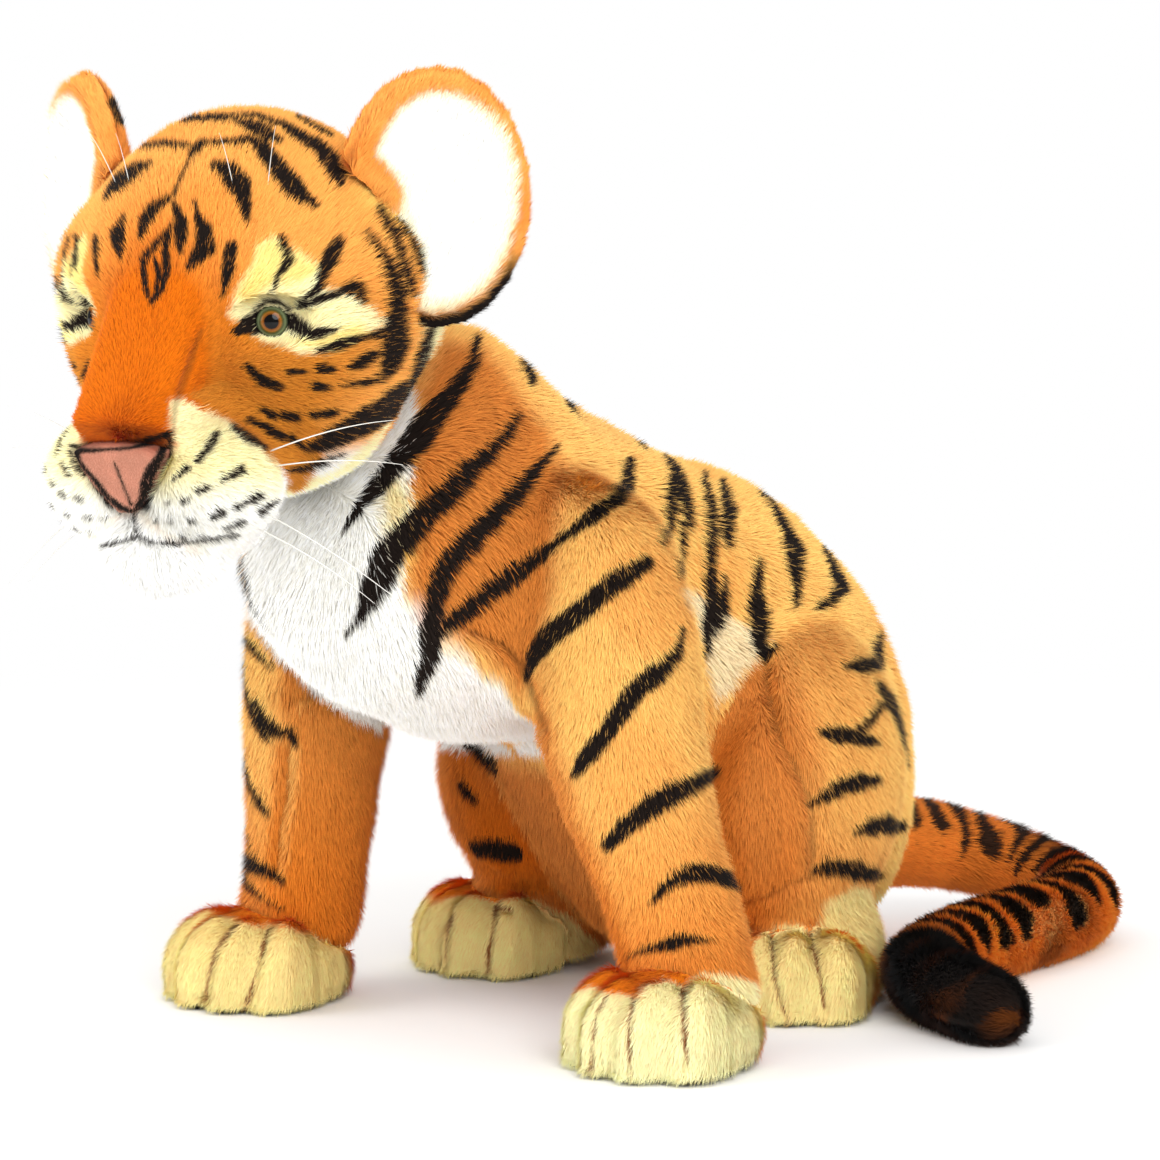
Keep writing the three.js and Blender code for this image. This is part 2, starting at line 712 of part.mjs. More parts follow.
function makePaw(paw, place, limbs, side, sideName, prefix) {
  const group = new THREE.Group();
  const toes = placedPaw(cut(pawForm(paw), floorBlock(paw.sole + seamGap)), paw, place);
  group.add(named(`${prefix}_paw_${sideName}`, mirrored(cut(toes, ...limbs), side), "creamPlush"));
  const sole = placedPaw(soleForm(paw), paw, place);
  group.add(named(`${prefix}_sole_${sideName}`, mirrored(sole, side), "darkPlush"));
  return group;
}

function makeFrontLeg(side, sideName) {
  const group = new THREE.Group();
  const leg = cut(frontLegForm(), torsoForm(seamGap), floorBlock(frontPaw.sole + seamGap));
  group.add(named(`front_leg_${sideName}`, mirrored(leg, side), "orangePlush"));
  group.add(makePaw(frontPaw, frontPawPlace, [frontLegForm(seamGap)], side, sideName, "front"));
  return group;
}

function thighForm(grow = 0) {
  const size = { width: thigh.width, depth: thigh.length, height: thigh.height };
  return ellipsoid(size, thigh.x, thighPlace.y, thigh.z, grow, 22, 16);
}

function hindFootForm(grow = 0) {
  const size = { width: hindFoot.width, depth: hindFoot.length, height: hindFoot.height * 2 };
  return ellipsoid(size, hindFootPlace.x, hindFootPlace.y, 0, grow, limbSides, 14);
}

function makeHindLeg(side, sideName) {
  const group = new THREE.Group();
  const upper = cut(thighForm(), torsoForm(seamGap));
  const base = floorBlock(hindPaw.sole + seamGap);
  const lower = cut(hindFootForm(), thighForm(seamGap), torsoForm(seamGap), base);
  group.add(named(`thigh_${sideName}`, mirrored(upper, side), "orangePlush"));
  group.add(named(`hind_foot_${sideName}`, mirrored(lower, side), "orangePlush"));
  const above = [hindFootForm(seamGap), thighForm(seamGap), torsoForm(seamGap)];
  group.add(makePaw(hindPaw, hindPawPlace, above, side, sideName, "hind"));
  return group;
}

// The points of a length of tail, from its shares
function tailRoute(shares) {
  return shares.map(([out, back, rise]) => new THREE.Vector3(
    out * tail.spread,
    tailRootY + back * tail.spread,
    rise * tail.radius,
  ));
}

// The rump as the tail meets it over its whole swing
function sweptRump() {
  const steps = 3;
  const copies = [];
  for (let i = 0; i <= steps; i += 1) {
    const copy = torsoForm(seamGap);
    copy.translate(0, -tailRootY, 0);
    copy.rotateZ(degrees((-tailSwing.baseDegrees * i) / steps));
    copy.translate(0, tailRootY, 0);
    copies.push(copy);
  }
  return join(copies[0], ...copies.slice(1));
}

// A length of the tail between two of its bends, domed at both ends
function tailLength(route, startRadius, endRadius) {
  const stations = route.map((center, i) => {
    const radius = THREE.MathUtils.lerp(startRadius, endRadius, i / (route.length - 1));
    return { center, wide: radius, tall: radius };
  });
  return stuffedForm({
    stations,
    axesOf: (tangent) => {
      const side = tangent.clone().cross(zAxis).normalize();
      return { side, up: tangent.clone().cross(side) };
    },
    startCap: startRadius,
    endCap: endRadius,
    sides: limbSides,
    rings: 2 * (route.length - 1),
  });
}

// What a length of tail leaves free at its start, so that it can bend round the dome before it
function bendRoom(joint, before, fromDegrees, toDegrees) {
  const heading = Math.atan2(joint.y - before.y, joint.x - before.x);
  const dome = new THREE.SphereGeometry(tail.radius + turnGap, 24, 16);
  dome.translate(joint.x, joint.y, joint.z);
  const reach = tail.radius * bendReachShare;
  const rooms = [dome];
  for (const bend of [fromDegrees, toDegrees]) {
    const room = new THREE.BoxGeometry(reach, reach * 2, reach * 2);
    room.translate(seamGap - reach / 2, 0, 0);
    room.rotateZ(heading - degrees(bend));
    room.translate(joint.x, joint.y, joint.z);
    rooms.push(room);
  }
  return rooms;
}

function makeTail() {
  const group = new THREE.Group();
  const [base, middle, tip] = ["base", "middle", "tip"].map((name) => tailRoute(tailShares[name]));
  const floor = floorBlock(0);
  const baseSolid = cut(tailLength(base, tail.rootRadius, tail.radius), sweptRump(), floor);
  const middleRoom = bendRoom(middle[0], base.at(-2), 0, tailSwing.middleDegrees);
  const middleSolid = cut(tailLength(middle, tail.radius, tail.radius), ...middleRoom, floor);
  const tipRoom = bendRoom(tip[0], middle.at(-2), -tailSwing.tipDegrees, tailSwing.tipDegrees);
  const tipSolid = cut(tailLength(tip, tail.radius, tail.endRadius), ...tipRoom, floor);
  group.add(named("tail_base", baseSolid, "orangePlush"));
  group.add(named("tail_middle", middleSolid, "orangePlush"));
  group.add(named("tail_tip", tipSolid, "darkPlush"));
  return group;
}

const tiger = new THREE.Group();
tiger.add(makeTorso());
tiger.add(makeHead());
for (const [side, sideName] of [[1, "left"], [-1, "right"]]) {
  tiger.add(makeFrontLeg(side, sideName));
  tiger.add(makeHindLeg(side, sideName));
}
tiger.add(makeTail());

export default tiger;
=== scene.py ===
"""A sitting plush tiger cub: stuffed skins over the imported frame, their pile and marks, and a pale studio."""

import json
import logging
import math
from dataclasses import dataclass, field
from enum import Enum

import bmesh
import bpy
import numpy as np
from mathutils import Matrix, Vector
from mathutils.bvhtree import BVHTree
from mathutils.kdtree import KDTree


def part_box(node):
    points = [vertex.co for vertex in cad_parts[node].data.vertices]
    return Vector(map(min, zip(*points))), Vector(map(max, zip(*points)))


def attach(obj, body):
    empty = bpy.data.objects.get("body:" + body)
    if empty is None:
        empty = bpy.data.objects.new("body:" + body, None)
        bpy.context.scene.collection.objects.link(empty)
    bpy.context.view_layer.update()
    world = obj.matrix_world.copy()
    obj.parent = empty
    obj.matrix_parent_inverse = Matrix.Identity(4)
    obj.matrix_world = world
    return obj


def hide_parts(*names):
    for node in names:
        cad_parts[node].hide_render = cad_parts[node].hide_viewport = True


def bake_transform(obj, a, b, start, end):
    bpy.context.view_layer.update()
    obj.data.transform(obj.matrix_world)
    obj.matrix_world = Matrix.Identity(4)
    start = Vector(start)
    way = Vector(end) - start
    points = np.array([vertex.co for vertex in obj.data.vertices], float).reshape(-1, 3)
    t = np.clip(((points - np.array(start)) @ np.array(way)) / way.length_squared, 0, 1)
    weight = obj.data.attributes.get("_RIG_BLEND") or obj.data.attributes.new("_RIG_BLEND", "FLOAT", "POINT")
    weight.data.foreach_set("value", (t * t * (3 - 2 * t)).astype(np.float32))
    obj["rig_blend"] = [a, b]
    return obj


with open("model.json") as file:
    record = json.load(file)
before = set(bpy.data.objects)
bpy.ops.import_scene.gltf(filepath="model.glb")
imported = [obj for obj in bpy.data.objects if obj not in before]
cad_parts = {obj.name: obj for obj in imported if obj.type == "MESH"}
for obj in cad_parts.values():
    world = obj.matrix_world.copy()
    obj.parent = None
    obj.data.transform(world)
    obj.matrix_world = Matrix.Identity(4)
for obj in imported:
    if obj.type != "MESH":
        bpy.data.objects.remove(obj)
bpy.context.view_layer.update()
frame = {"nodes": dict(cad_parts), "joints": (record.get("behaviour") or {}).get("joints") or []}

log = logging.getLogger("tiger_cub")
MM = 0.001
PIXEL = 0.457 * MM  # what one pixel of the photograph covers of the cub
SIDES = {"left": 1, "right": -1}  # the cub's own left lies towards +x
Point = tuple[float, float, float]  # x, y and z, or a pixel with the half width of a stripe there


class Tint(Enum):
    """The dyes of the plush, as display red, green and blue; the browner back tan is partly painted shade, and
    the darker paw cream and the seam colour are painted shade.
    """

    TAN = (253, 200, 112)
    # A browner tan for the top of the back: partly the plush's colour, partly painted shade.
    BACK = (226, 178, 120)
    HEAD = (245, 174, 86)
    FACE = (212, 136, 46)
    DEEP = (232, 132, 24)
    RUST = (206, 98, 6)
    BRIDGE = (226, 120, 12)
    CREAM = (255, 243, 192)
    # A darker, more orange cream for the paws that get less light: painted shade.
    TOE_SHADE = (254, 226, 154)
    TOE = (255, 237, 182)
    YELLOW = (252, 222, 120)
    WHITE = (252, 251, 246)
    BIB = (255, 253, 246)
    INK = (34, 26, 22)
    TAIL = (226, 130, 48)
    TAIL_PALE = (250, 182, 100)
    TAIL_END = (96, 50, 16)
    NECK = (204, 108, 26)
    FLANK = (246, 226, 184)
    # Painted shade along seams, folds, toe stitches and the ear's seam.
    SEAM = (140, 84, 44)
    PINK = (208, 150, 126)

    def linear(self) -> np.ndarray:
        """The tint as linear light, as materials and attributes hold it."""
        c = np.array(self.value, float) / 255
        return np.where(c <= 0.04045, c / 12.92, ((c + 0.055) / 1.055) ** 2.4)


# Numbers and meshes

def smooth(t: np.ndarray) -> np.ndarray:
    """Eases 0..1 with a soft start and a soft end."""
    t = np.clip(t, 0, 1)
    return t * t * (3 - 2 * t)


def unit(v: np.ndarray) -> np.ndarray:
    """Gives each row a length of 1."""
    return v / np.maximum(np.linalg.norm(v, axis=-1, keepdims=True), 1e-9)


def ripple(points: np.ndarray, size: float, seed: int, waves: int = 14) -> np.ndarray:
    """Soft, repeatable mottling.

    Args:
        points: Positions in metres, one a row.
        size: Rough width of a patch in metres.
        seed: Picks the pattern.
        waves: How many plane waves are laid over each other.

    Returns:
        One value for each point, about -1 to 1.
    """
    rng = np.random.default_rng(seed)
    total = np.zeros(len(points))
    for _ in range(waves):
        way = unit(rng.normal(size=3)[None])[0] * (2 * math.pi / size) * rng.uniform(0.5, 1.3)
        total += np.sin(points @ way + rng.uniform(0, 6.3))
    return total / math.sqrt(waves / 2) * 0.6


def turned(degrees: float) -> np.ndarray:
    """The matrix of a turn about the upright axis."""
    a = math.radians(degrees)
    return np.array([[math.cos(a), -math.sin(a), 0], [math.sin(a), math.cos(a), 0], [0, 0, 1]])


def read(items: bpy.types.bpy_prop_collection, name: str, width: int = 1,
         kind: type = np.float32) -> np.ndarray:
    """Reads one property of every item.

    Args:
        items: The mesh's vertices, edges, faces or the like.
        name: The property.
        width: How many numbers each item holds.
        kind: float32 or int32.

    Returns:
        One row, or one number, for each item.
    """
    out = np.empty(len(items) * width, kind)
    items.foreach_get(name, out)
    out = out.reshape(-1, width) if width > 1 else out
    return out.astype(float) if kind is np.float32 else out


def vertices(mesh: bpy.types.Mesh) -> np.ndarray:
    """The mesh's vertex positions, one a row."""
    return read(mesh.vertices, "co", 3)


def vertex_normals(mesh: bpy.types.Mesh) -> np.ndarray:
    """The mesh's vertex normals, one a row."""
    return read(mesh.vertex_normals, "vector", 3)


def set_vertices(mesh: bpy.types.Mesh, co: np.ndarray) -> None:
    """Moves the mesh's vertices to these positions."""
    mesh.vertices.foreach_set("co", np.ascontiguousarray(co, np.float32).ravel())
    mesh.update()


def store(mesh: bpy.types.Mesh, name: str, kind: str, values: np.ndarray) -> None:
    """Writes one value, vector or colour for each vertex.

    Args:
        mesh: The mesh that takes the attribute.
        name: The attribute's name.
        kind: FLOAT, FLOAT_VECTOR or FLOAT_COLOR.
        values: One row for each vertex.
    """
    layer = mesh.attributes.get(name) or mesh.attributes.new(name, kind, "POINT")
    key = {"FLOAT": "value", "FLOAT_VECTOR": "vector", "FLOAT_COLOR": "color"}[kind]
    if kind == "FLOAT_COLOR" and values.shape[1] == 3:
        values = np.hstack([values, np.ones((len(values), 1))])
    layer.data.foreach_set(key, np.ascontiguousarray(values, np.float32).ravel())


def fetch(mesh: bpy.types.Mesh, name: str, kind: str) -> np.ndarray:
    """Reads an attribute back, one row for each of its elements."""
    key, width = {"FLOAT": ("value", 1), "FLOAT_VECTOR": ("vector", 3), "FLOAT_COLOR": ("color", 4)}[kind]
    return read(mesh.attributes[name].data, key, width)


def add_object(name: str, mesh: bpy.types.Mesh) -> bpy.types.Object:
    """Puts a mesh into the scene under this name."""
    obj = bpy.data.objects.new(name, mesh)
    bpy.context.scene.collection.objects.link(obj)
    return obj


def bake_modifiers(obj: bpy.types.Object) -> None:
    """Turns the object's modifiers into its plain mesh.

    Args:
        obj: The object.
    """
    graph = bpy.context.evaluated_depsgraph_get()
    mesh = bpy.data.meshes.new_from_object(obj.evaluated_get(graph), preserve_all_data_layers=True,
                                           depsgraph=graph)
    obj.modifiers.clear()
    obj.data = mesh


def net(mesh: bpy.types.Mesh) -> tuple[np.ndarray, np.ndarray, np.ndarray]:
    """The two ends of every edge, and how many edges meet at each vertex."""
    a, b = read(mesh.edges, "vertices", 2, np.int32).T
    degree = np.bincount(np.concatenate([a, b]), minlength=len(mesh.vertices)).astype(float)
    return a, b, np.maximum(degree, 1)


def around(values: np.ndarray, a: np.ndarray, b: np.ndarray, degree: np.ndarray) -> np.ndarray:
    """The mean of each vertex's neighbours.

    Args:
        values: One row for each vertex.
        a: Each edge's first end.
        b: Each edge's second end.
        degree: How many edges meet at each vertex.

    Returns:
        One row for each vertex.
    """
    out = np.empty_like(values)
    for i in range(values.shape[1]):
        column = values[:, i]
        out[:, i] = (np.bincount(a, column[b], len(column)) + np.bincount(b, column[a], len(column))) / degree
    return out


def solid_tree(names: list[str]) -> tuple[BVHTree, np.ndarray]:
    """A search tree over several CAD nodes.

    Args:
        names: The nodes.

    Returns:
        The tree, and for each of its faces the place of its node in names.
    """
    points: list[Vector] = []
    faces: list[tuple[int, ...]] = []
    owner: list[int] = []
    for i, name in enumerate(names):
        mesh = frame["nodes"][name].data
        start = len(points)
        points.extend(v.co.copy() for v in mesh.vertices)
        for poly in mesh.polygons:
            faces.append(tuple(start + v for v in poly.vertices))
            owner.append(i)
    return BVHTree.FromPolygons(points, faces), np.array(owner)


def skin_tree(mesh: bpy.types.Mesh) -> BVHTree:
    """A search tree over a finished skin."""
    return BVHTree.FromPolygons([v.co.copy() for v in mesh.vertices],
                                [tuple(p.vertices) for p in mesh.polygons])


def owners(points: np.ndarray, names: list[str]) -> np.ndarray:
    """For each point, the place in names of the node that lies nearest."""
    tree, owner = solid_tree(names)
    return np.array([owner[tree.find_nearest(Vector(p))[2]] for p in points])


def depth_in(points: np.ndarray, tree: BVHTree) -> np.ndarray:
    """How far each point lies outside a closed skin.

    Args:
        points: Positions.
        tree: The skin.

    Returns:
        The distances in metres, negative inside.
    """
    out = np.empty(len(points))
    for i, p in enumerate(points):
        hit, normal, _, distance = tree.find_nearest(Vector(p))
        out[i] = distance if (Vector(p) - hit).dot(normal) > 0 else -distance
    return out


def bare(points: np.ndarray, *covers: BVHTree) -> np.ndarray:
    """How freely each point lies outside the skins that cover it.

    Args:
        points: Positions.
        covers: The skins.

    Returns:
        A mask, 0 under a skin and 1 well outside.
    """
    out = np.ones(len(points))
    for cover in covers:
        out = np.minimum(out, smooth((depth_in(points, cover) + 1 * MM) / (2 * MM)))
    return out


def search_tree(points: np.ndarray) -> KDTree:
    """Sorts points for quick search.

    Args:
        points: Positions.

    Returns:
        A tree that finds the nearest of them.
    """
    tree = KDTree(len(points))
    for i, p in enumerate(points):
        tree.insert(Vector(p), i)
    tree.balance()
    return tree


def finish_mesh(bm: bmesh.types.BMesh, name: str) -> bpy.types.Object:
    """Turns a form under work into a smooth object with its faces outwards.

    Args:
        bm: The form, which is freed.
        name: The object's name.

    Returns:
        The object.
    """
    bmesh.ops.recalc_face_normals(bm, faces=bm.faces)
    mesh = bpy.data.meshes.new(name)
    bm.to_mesh(mesh)
    bm.free()
    mesh.shade_smooth()
    return add_object(name, mesh)


def ring_of(bm: bmesh.types.BMesh, centre: np.ndarray, way: np.ndarray, up: np.ndarray, radius: float,
            sides: int) -> list[bmesh.types.BMVert]:
    """Adds one ring of vertices round a line.

    Args:
        bm: The form under work.
        centre: The ring's middle.
        way: The line's direction.
        up: Any direction off the line, from which the ring starts a quarter turn on.
        radius: The ring's radius; 0 gives one vertex.
        sides: How many vertices it has.

    Returns:
        The vertices in order.
    """
    if radius == 0:
        return [bm.verts.new(tuple(centre))]
    right = unit(np.cross(way, up)[None])[0]
    upward = np.cross(right, way)
    made = []
    for k in range(sides):
        turn = 2 * math.pi * k / sides
        out = right * math.cos(turn) + upward * math.sin(turn)
        made.append(bm.verts.new(tuple(centre + radius * out)))
    return made


def close_rings(bm: bmesh.types.BMesh, rings: list[list[bmesh.types.BMVert]]) -> None:
    """Spans faces from ring to ring.

    Args:
        bm: The form under work.
        rings: The rings in order; one of a single vertex is a pole, and an open end gets a lid.
    """
    for lower, upper in zip(rings[:-1], rings[1:]):
        sides = max(len(lower), len(upper))
        for k in range(sides):
            n = (k + 1) % sides
            if len(lower) == 1:
                bm.faces.new((lower[0], upper[n], upper[k]))
            elif len(upper) == 1:
                bm.faces.new((lower[k], lower[n], upper[0]))
            else:
                bm.faces.new((lower[k], lower[n], upper[n], upper[k]))
    if len(rings[0]) > 1:
        bm.faces.new(rings[0][::-1])
    if len(rings[-1]) > 1:
        bm.faces.new(rings[-1])


# Node building

class Wire:
    """A socket that takes part in Python sums: each operator adds its own Math node."""

    def __init__(self, maker: "Maker", socket: bpy.types.NodeSocket) -> None:
        """Keeps the socket and the maker that can add nodes beside it."""
        self.maker = maker
        self.socket = socket

    def math(self, operation: str, *values: "Wire | float") -> "Wire":
        """Adds one Math node of this operation over the values."""
        return self.maker.get("ShaderNodeMath", {"operation": operation}, dict(enumerate(values)))

    def __add__(self, other: "Wire | float") -> "Wire":
        """self + other."""
        return self.math("ADD", self, other)

    __radd__ = __add__

    def __sub__(self, other: "Wire | float") -> "Wire":
        """self - other."""
        return self.math("SUBTRACT", self, other)

    def __rsub__(self, other: float) -> "Wire":
        """other - self."""
        return self.math("SUBTRACT", other, self)

    def __mul__(self, other: "Wire | float") -> "Wire":
        """self * other."""
        return self.math("MULTIPLY", self, other)

    __rmul__ = __mul__

    def __truediv__(self, other: "Wire | float") -> "Wire":
        """self / other."""
        return self.math("DIVIDE", self, other)

    def __lt__(self, other: "Wire | float") -> "Wire":
        """1 where self is under other."""
        return self.math("LESS_THAN", self, other)

    def between(self, low: float, high: float) -> "Wire":
        """Eases from 0 at low to 1 at high."""
        return self.maker.get("ShaderNodeMapRange", {"interpolation_type": "SMOOTHSTEP"},
                              {0: self, 1: low, 2: high, 3: 0.0, 4: 1.0})


class Maker:
    """Adds nodes to one tree."""

    def __init__(self, tree: bpy.types.NodeTree) -> None:
        """Keeps the tree."""
        self.tree = tree

    def node(self, kind: str, settings: dict | None = None, inputs: dict | None = None) -> bpy.types.Node:
        """Adds any node.

        Args:
            kind: The node's type.
            settings: Its own settings, set first; "stops" fills a colour ramp.
            inputs: A value or a Wire for each socket, by name or place.

        Returns:
            The node.
        """
        node = self.tree.nodes.new(kind)
        for key, value in (settings or {}).items():
            if key == "stops":
                ramp = node.color_ramp
                while len(ramp.elements) < len(value):
                    ramp.elements.new(0.5)
                for element, (position, color) in zip(ramp.elements, value):
                    element.position = position
                    element.color = (*color, 1)
            else:
                setattr(node, key, value)
        for key, value in (inputs or {}).items():
            if isinstance(value, Wire):
                self.tree.links.new(value.socket, node.inputs[key])
            elif value is not None:
                node.inputs[key].default_value = value
        return node

    def get(self, kind: str, settings: dict | None = None, inputs: dict | None = None,
            output: int | str = 0) -> Wire:
        """Adds any node and gives one of its outputs."""
        return Wire(self, self.node(kind, settings, inputs).outputs[output])

    def noise(self, place: Wire, scale: float, detail: float, output: str = "Fac") -> Wire:
        """Adds one Noise Texture node."""
        return self.get("ShaderNodeTexNoise", None, {"Vector": place, "Scale": scale, "Detail": detail},
                        output)

    def mix(self, factor: Wire | float, a: Wire | tuple, b: Wire | tuple, blend: str = "MIX") -> Wire:
        """Mixes two colours: a factor of 0 gives a, and 1 gives b."""
        return self.get("ShaderNodeMix", {"data_type": "RGBA", "blend_type": blend}, {0: factor, 6: a, 7: b},
                        2)

    def vector(self, operation: str, *values: Wire | tuple, scale: Wire | float | None = None,
               output: int | str = 0) -> Wire:
        """Adds one Vector Math node; scale is its Scale socket."""
        inputs: dict = dict(enumerate(values))
        if scale is not None:
            inputs["Scale"] = scale
        return self.get("ShaderNodeVectorMath", {"operation": operation}, inputs, output)


def rgba(color: np.ndarray) -> tuple[float, float, float, float]:
    """A linear colour with full alpha, as a socket takes it."""
    return (float(color[0]), float(color[1]), float(color[2]), 1.0)


# Finishes

@dataclass(frozen=True)
class Finish:
    """The base of each finish: a shader with its constants on its own sockets."""

    name: str
    roughness: float = 0.8
    specular: float = 0.3

    def start(self) -> tuple[bpy.types.Material, Maker, bpy.types.Node]:
        """A new material with its shader.

        Returns:
            The material, the maker on its tree and the shader node.
        """
        material = bpy.data.materials.new(self.name)
        material.use_nodes = True
        maker = Maker(material.node_tree)
        material.node_tree.nodes.clear()
        shader = maker.node("ShaderNodeBsdfPrincipled", None,
                            {"Roughness": self.roughness, "Specular IOR Level": self.specular})
        maker.node("ShaderNodeOutputMaterial", None, {"Surface": Wire(maker, shader.outputs[0])})
        return material, maker, shader


@dataclass(frozen=True)
class Plush(Finish):
    """Pile or its backing: the printed coat, no two hairs alike, with painted shade in the depth of the pile:
    darker and deeper in colour at the root, painted light at the tip, and the backing painted darker still as
    shade under the pile.
    """

    roughness: float = 0.85
    specular: float = 0.06
    sheen: float = 0.04
    # root and tip scale the colour along each hair: painted shade at the root, painted light at the tip.
    root: float = 0.80
    tip: float = 1.12
    uneven: float = 0.26
    # How far the colour deepens towards the roots: painted bounce light and shade inside the pile.
    bounce_warmth: float = 0.40
    backing: bool = False

    def build(self) -> bpy.types.Material:
        """Makes the material.

        Returns:
            The material.
        """
        material, maker, shader = self.start()
        shader.inputs["Sheen Weight"].default_value = self.sheen
        shader.inputs["Sheen Roughness"].default_value = 0.55
        coat = maker.get("ShaderNodeAttribute", {"attribute_name": "coat"}, None, "Color")
        place = maker.get("ShaderNodeTexCoord", None, None, "Object")
        mottle = maker.noise(place, 130.0, 3.0)
        value = 0.88 + mottle * 0.24
        deep = maker.vector("MULTIPLY", coat, coat)
        # The backing is painted darker and deeper in colour: painted shade under the pile.
        if self.backing:
            value = value * 0.92
            coat = maker.mix(self.bounce_warmth, coat, deep)
            weave = maker.noise(place, 900.0, 2.0)
            bump = maker.node("ShaderNodeBump", None, {"Strength": 0.35, "Distance": 0.0006, "Height": weave})
            maker.tree.links.new(bump.outputs[0], shader.inputs["Normal"])
        else:
            along = maker.get("ShaderNodeAttribute", {"attribute_name": "along"}, None, "Fac")
            shade = maker.get("ShaderNodeAttribute", {"attribute_name": "shade"}, None, "Fac")
            # Painted shade in the pile: deeper colour and a darker value towards the root, painted light towards
            # the tip.
            coat = maker.mix((1 - along) * self.bounce_warmth, coat, deep)
            value = value * (self.root + along * (self.tip - self.root))
            value = value * ((1 - self.uneven / 2) + shade * self.uneven)
        tinted = maker.vector("MINIMUM", maker.vector("SCALE", coat, scale=value), (0.97, 0.97, 0.97))
        maker.tree.links.new(tinted.socket, shader.inputs["Base Color"])
        return material


@dataclass(frozen=True)
class EyeGloss(Finish):
    """A domed plastic eye: black pupil, amber ring, grey-green iris with fine streaks, dark rim."""

    roughness: float = 0.08
    specular: float = 0.16
    centre: Point = (0.0, 0.0, 0.0)
    axis: Point = (0.0, -1.0, 0.0)
    radius: float = 7.2 * MM

    def build(self) -> bpy.types.Material:
        """Makes the material.

        Returns:
            The material.
        """
        material, maker, shader = self.start()
        shader.inputs["Coat Roughness"].default_value = 0.02
        shader.inputs["Coat Weight"].default_value = 0.12
        place = maker.get("ShaderNodeTexCoord", None, None, "Object")
        away = maker.vector("SUBTRACT", place, self.centre)
        height = maker.vector("DOT_PRODUCT", away, self.axis, output="Value")
        flat = maker.vector("SUBTRACT", away, maker.vector("SCALE", self.axis, scale=height))
        distance = maker.vector("LENGTH", flat, output="Value") / self.radius
        around = unit(np.cross(np.array(self.axis), (0.0, 0.0, 1.0))[None])[0]
        upward = np.cross(around, np.array(self.axis))
        across = maker.vector("DOT_PRODUCT", flat, tuple(around), output="Value")
        up = maker.vector("DOT_PRODUCT", flat, tuple(upward), output="Value")
        angle = across.math("ARCTAN2", across, up)
        ring = maker.get("ShaderNodeCombineXYZ", None, {0: angle * 5.0, 1: distance * 1.2, 2: 0.0})
        streak = maker.noise(ring, 3.0, 4.0)
        wobbled = distance + (streak - 0.5) * 0.10
        stops = [(0.0, (0.002, 0.002, 0.002)), (0.39, (0.003, 0.002, 0.002)), (0.43, (0.15, 0.045, 0.004)),
                 (0.54, (0.27, 0.095, 0.012)),
                 (0.60, (0.12, 0.075, 0.012)), (0.66, (0.055, 0.065, 0.025)), (0.76, (0.14, 0.17, 0.085)),
                 (0.83, (0.07, 0.085, 0.045)),
                 (0.90, (0.01, 0.012, 0.008)), (1.0, (0.003, 0.003, 0.003))]
        iris = maker.get("ShaderNodeValToRGB", {"stops": stops}, {0: wobbled}, "Color")
        tone = maker.mix((streak - 0.35) * 0.8, iris, rgba(np.array([0.28, 0.30, 0.16])), "SOFT_LIGHT")
        maker.tree.links.new(tone.socket, shader.inputs["Base Color"])
        return material


@dataclass(frozen=True)
class Nylon(Finish):
    """Whisker thread: pale, a little glossy, with a faint drawn grain."""

    roughness: float = 0.35
    specular: float = 0.5
    tint: Point = (0.82, 0.80, 0.74)

    def build(self) -> bpy.types.Material:
        """Makes the material.

        Returns:
            The material.
        """
        material, maker, shader = self.start()
        place = maker.get("ShaderNodeTexCoord", None, None, "Object")
        grain = maker.noise(place, 700.0, 2.0)
        color = maker.mix(grain * 0.5, rgba(np.array(self.tint)), rgba(np.array(self.tint) * 0.75))
        maker.tree.links.new(color.socket, shader.inputs["Base Color"])
        return material


@dataclass(frozen=True)
class MouldedPlastic(Finish):
    """The lock washers behind the eyes: plain white moulded plastic with a fine matt grain."""

    roughness: float = 0.5

    def build(self) -> bpy.types.Material:
        """Makes the material.

        Returns:
            The material.
        """
        material, maker, shader = self.start()
        place = maker.get("ShaderNodeTexCoord", None, None, "Object")
        grain = maker.noise(place, 1500.0, 2.0)
        color = maker.mix(grain, (0.72, 0.72, 0.70, 1), (0.80, 0.80, 0.78, 1))
        maker.tree.links.new(color.socket, shader.inputs["Base Color"])
        bump = maker.node("ShaderNodeBump", None, {"Strength": 0.2, "Distance": 0.0002, "Height": grain})
        maker.tree.links.new(bump.outputs[0], shader.inputs["Normal"])
        return material


# The photograph's view and its printed marks

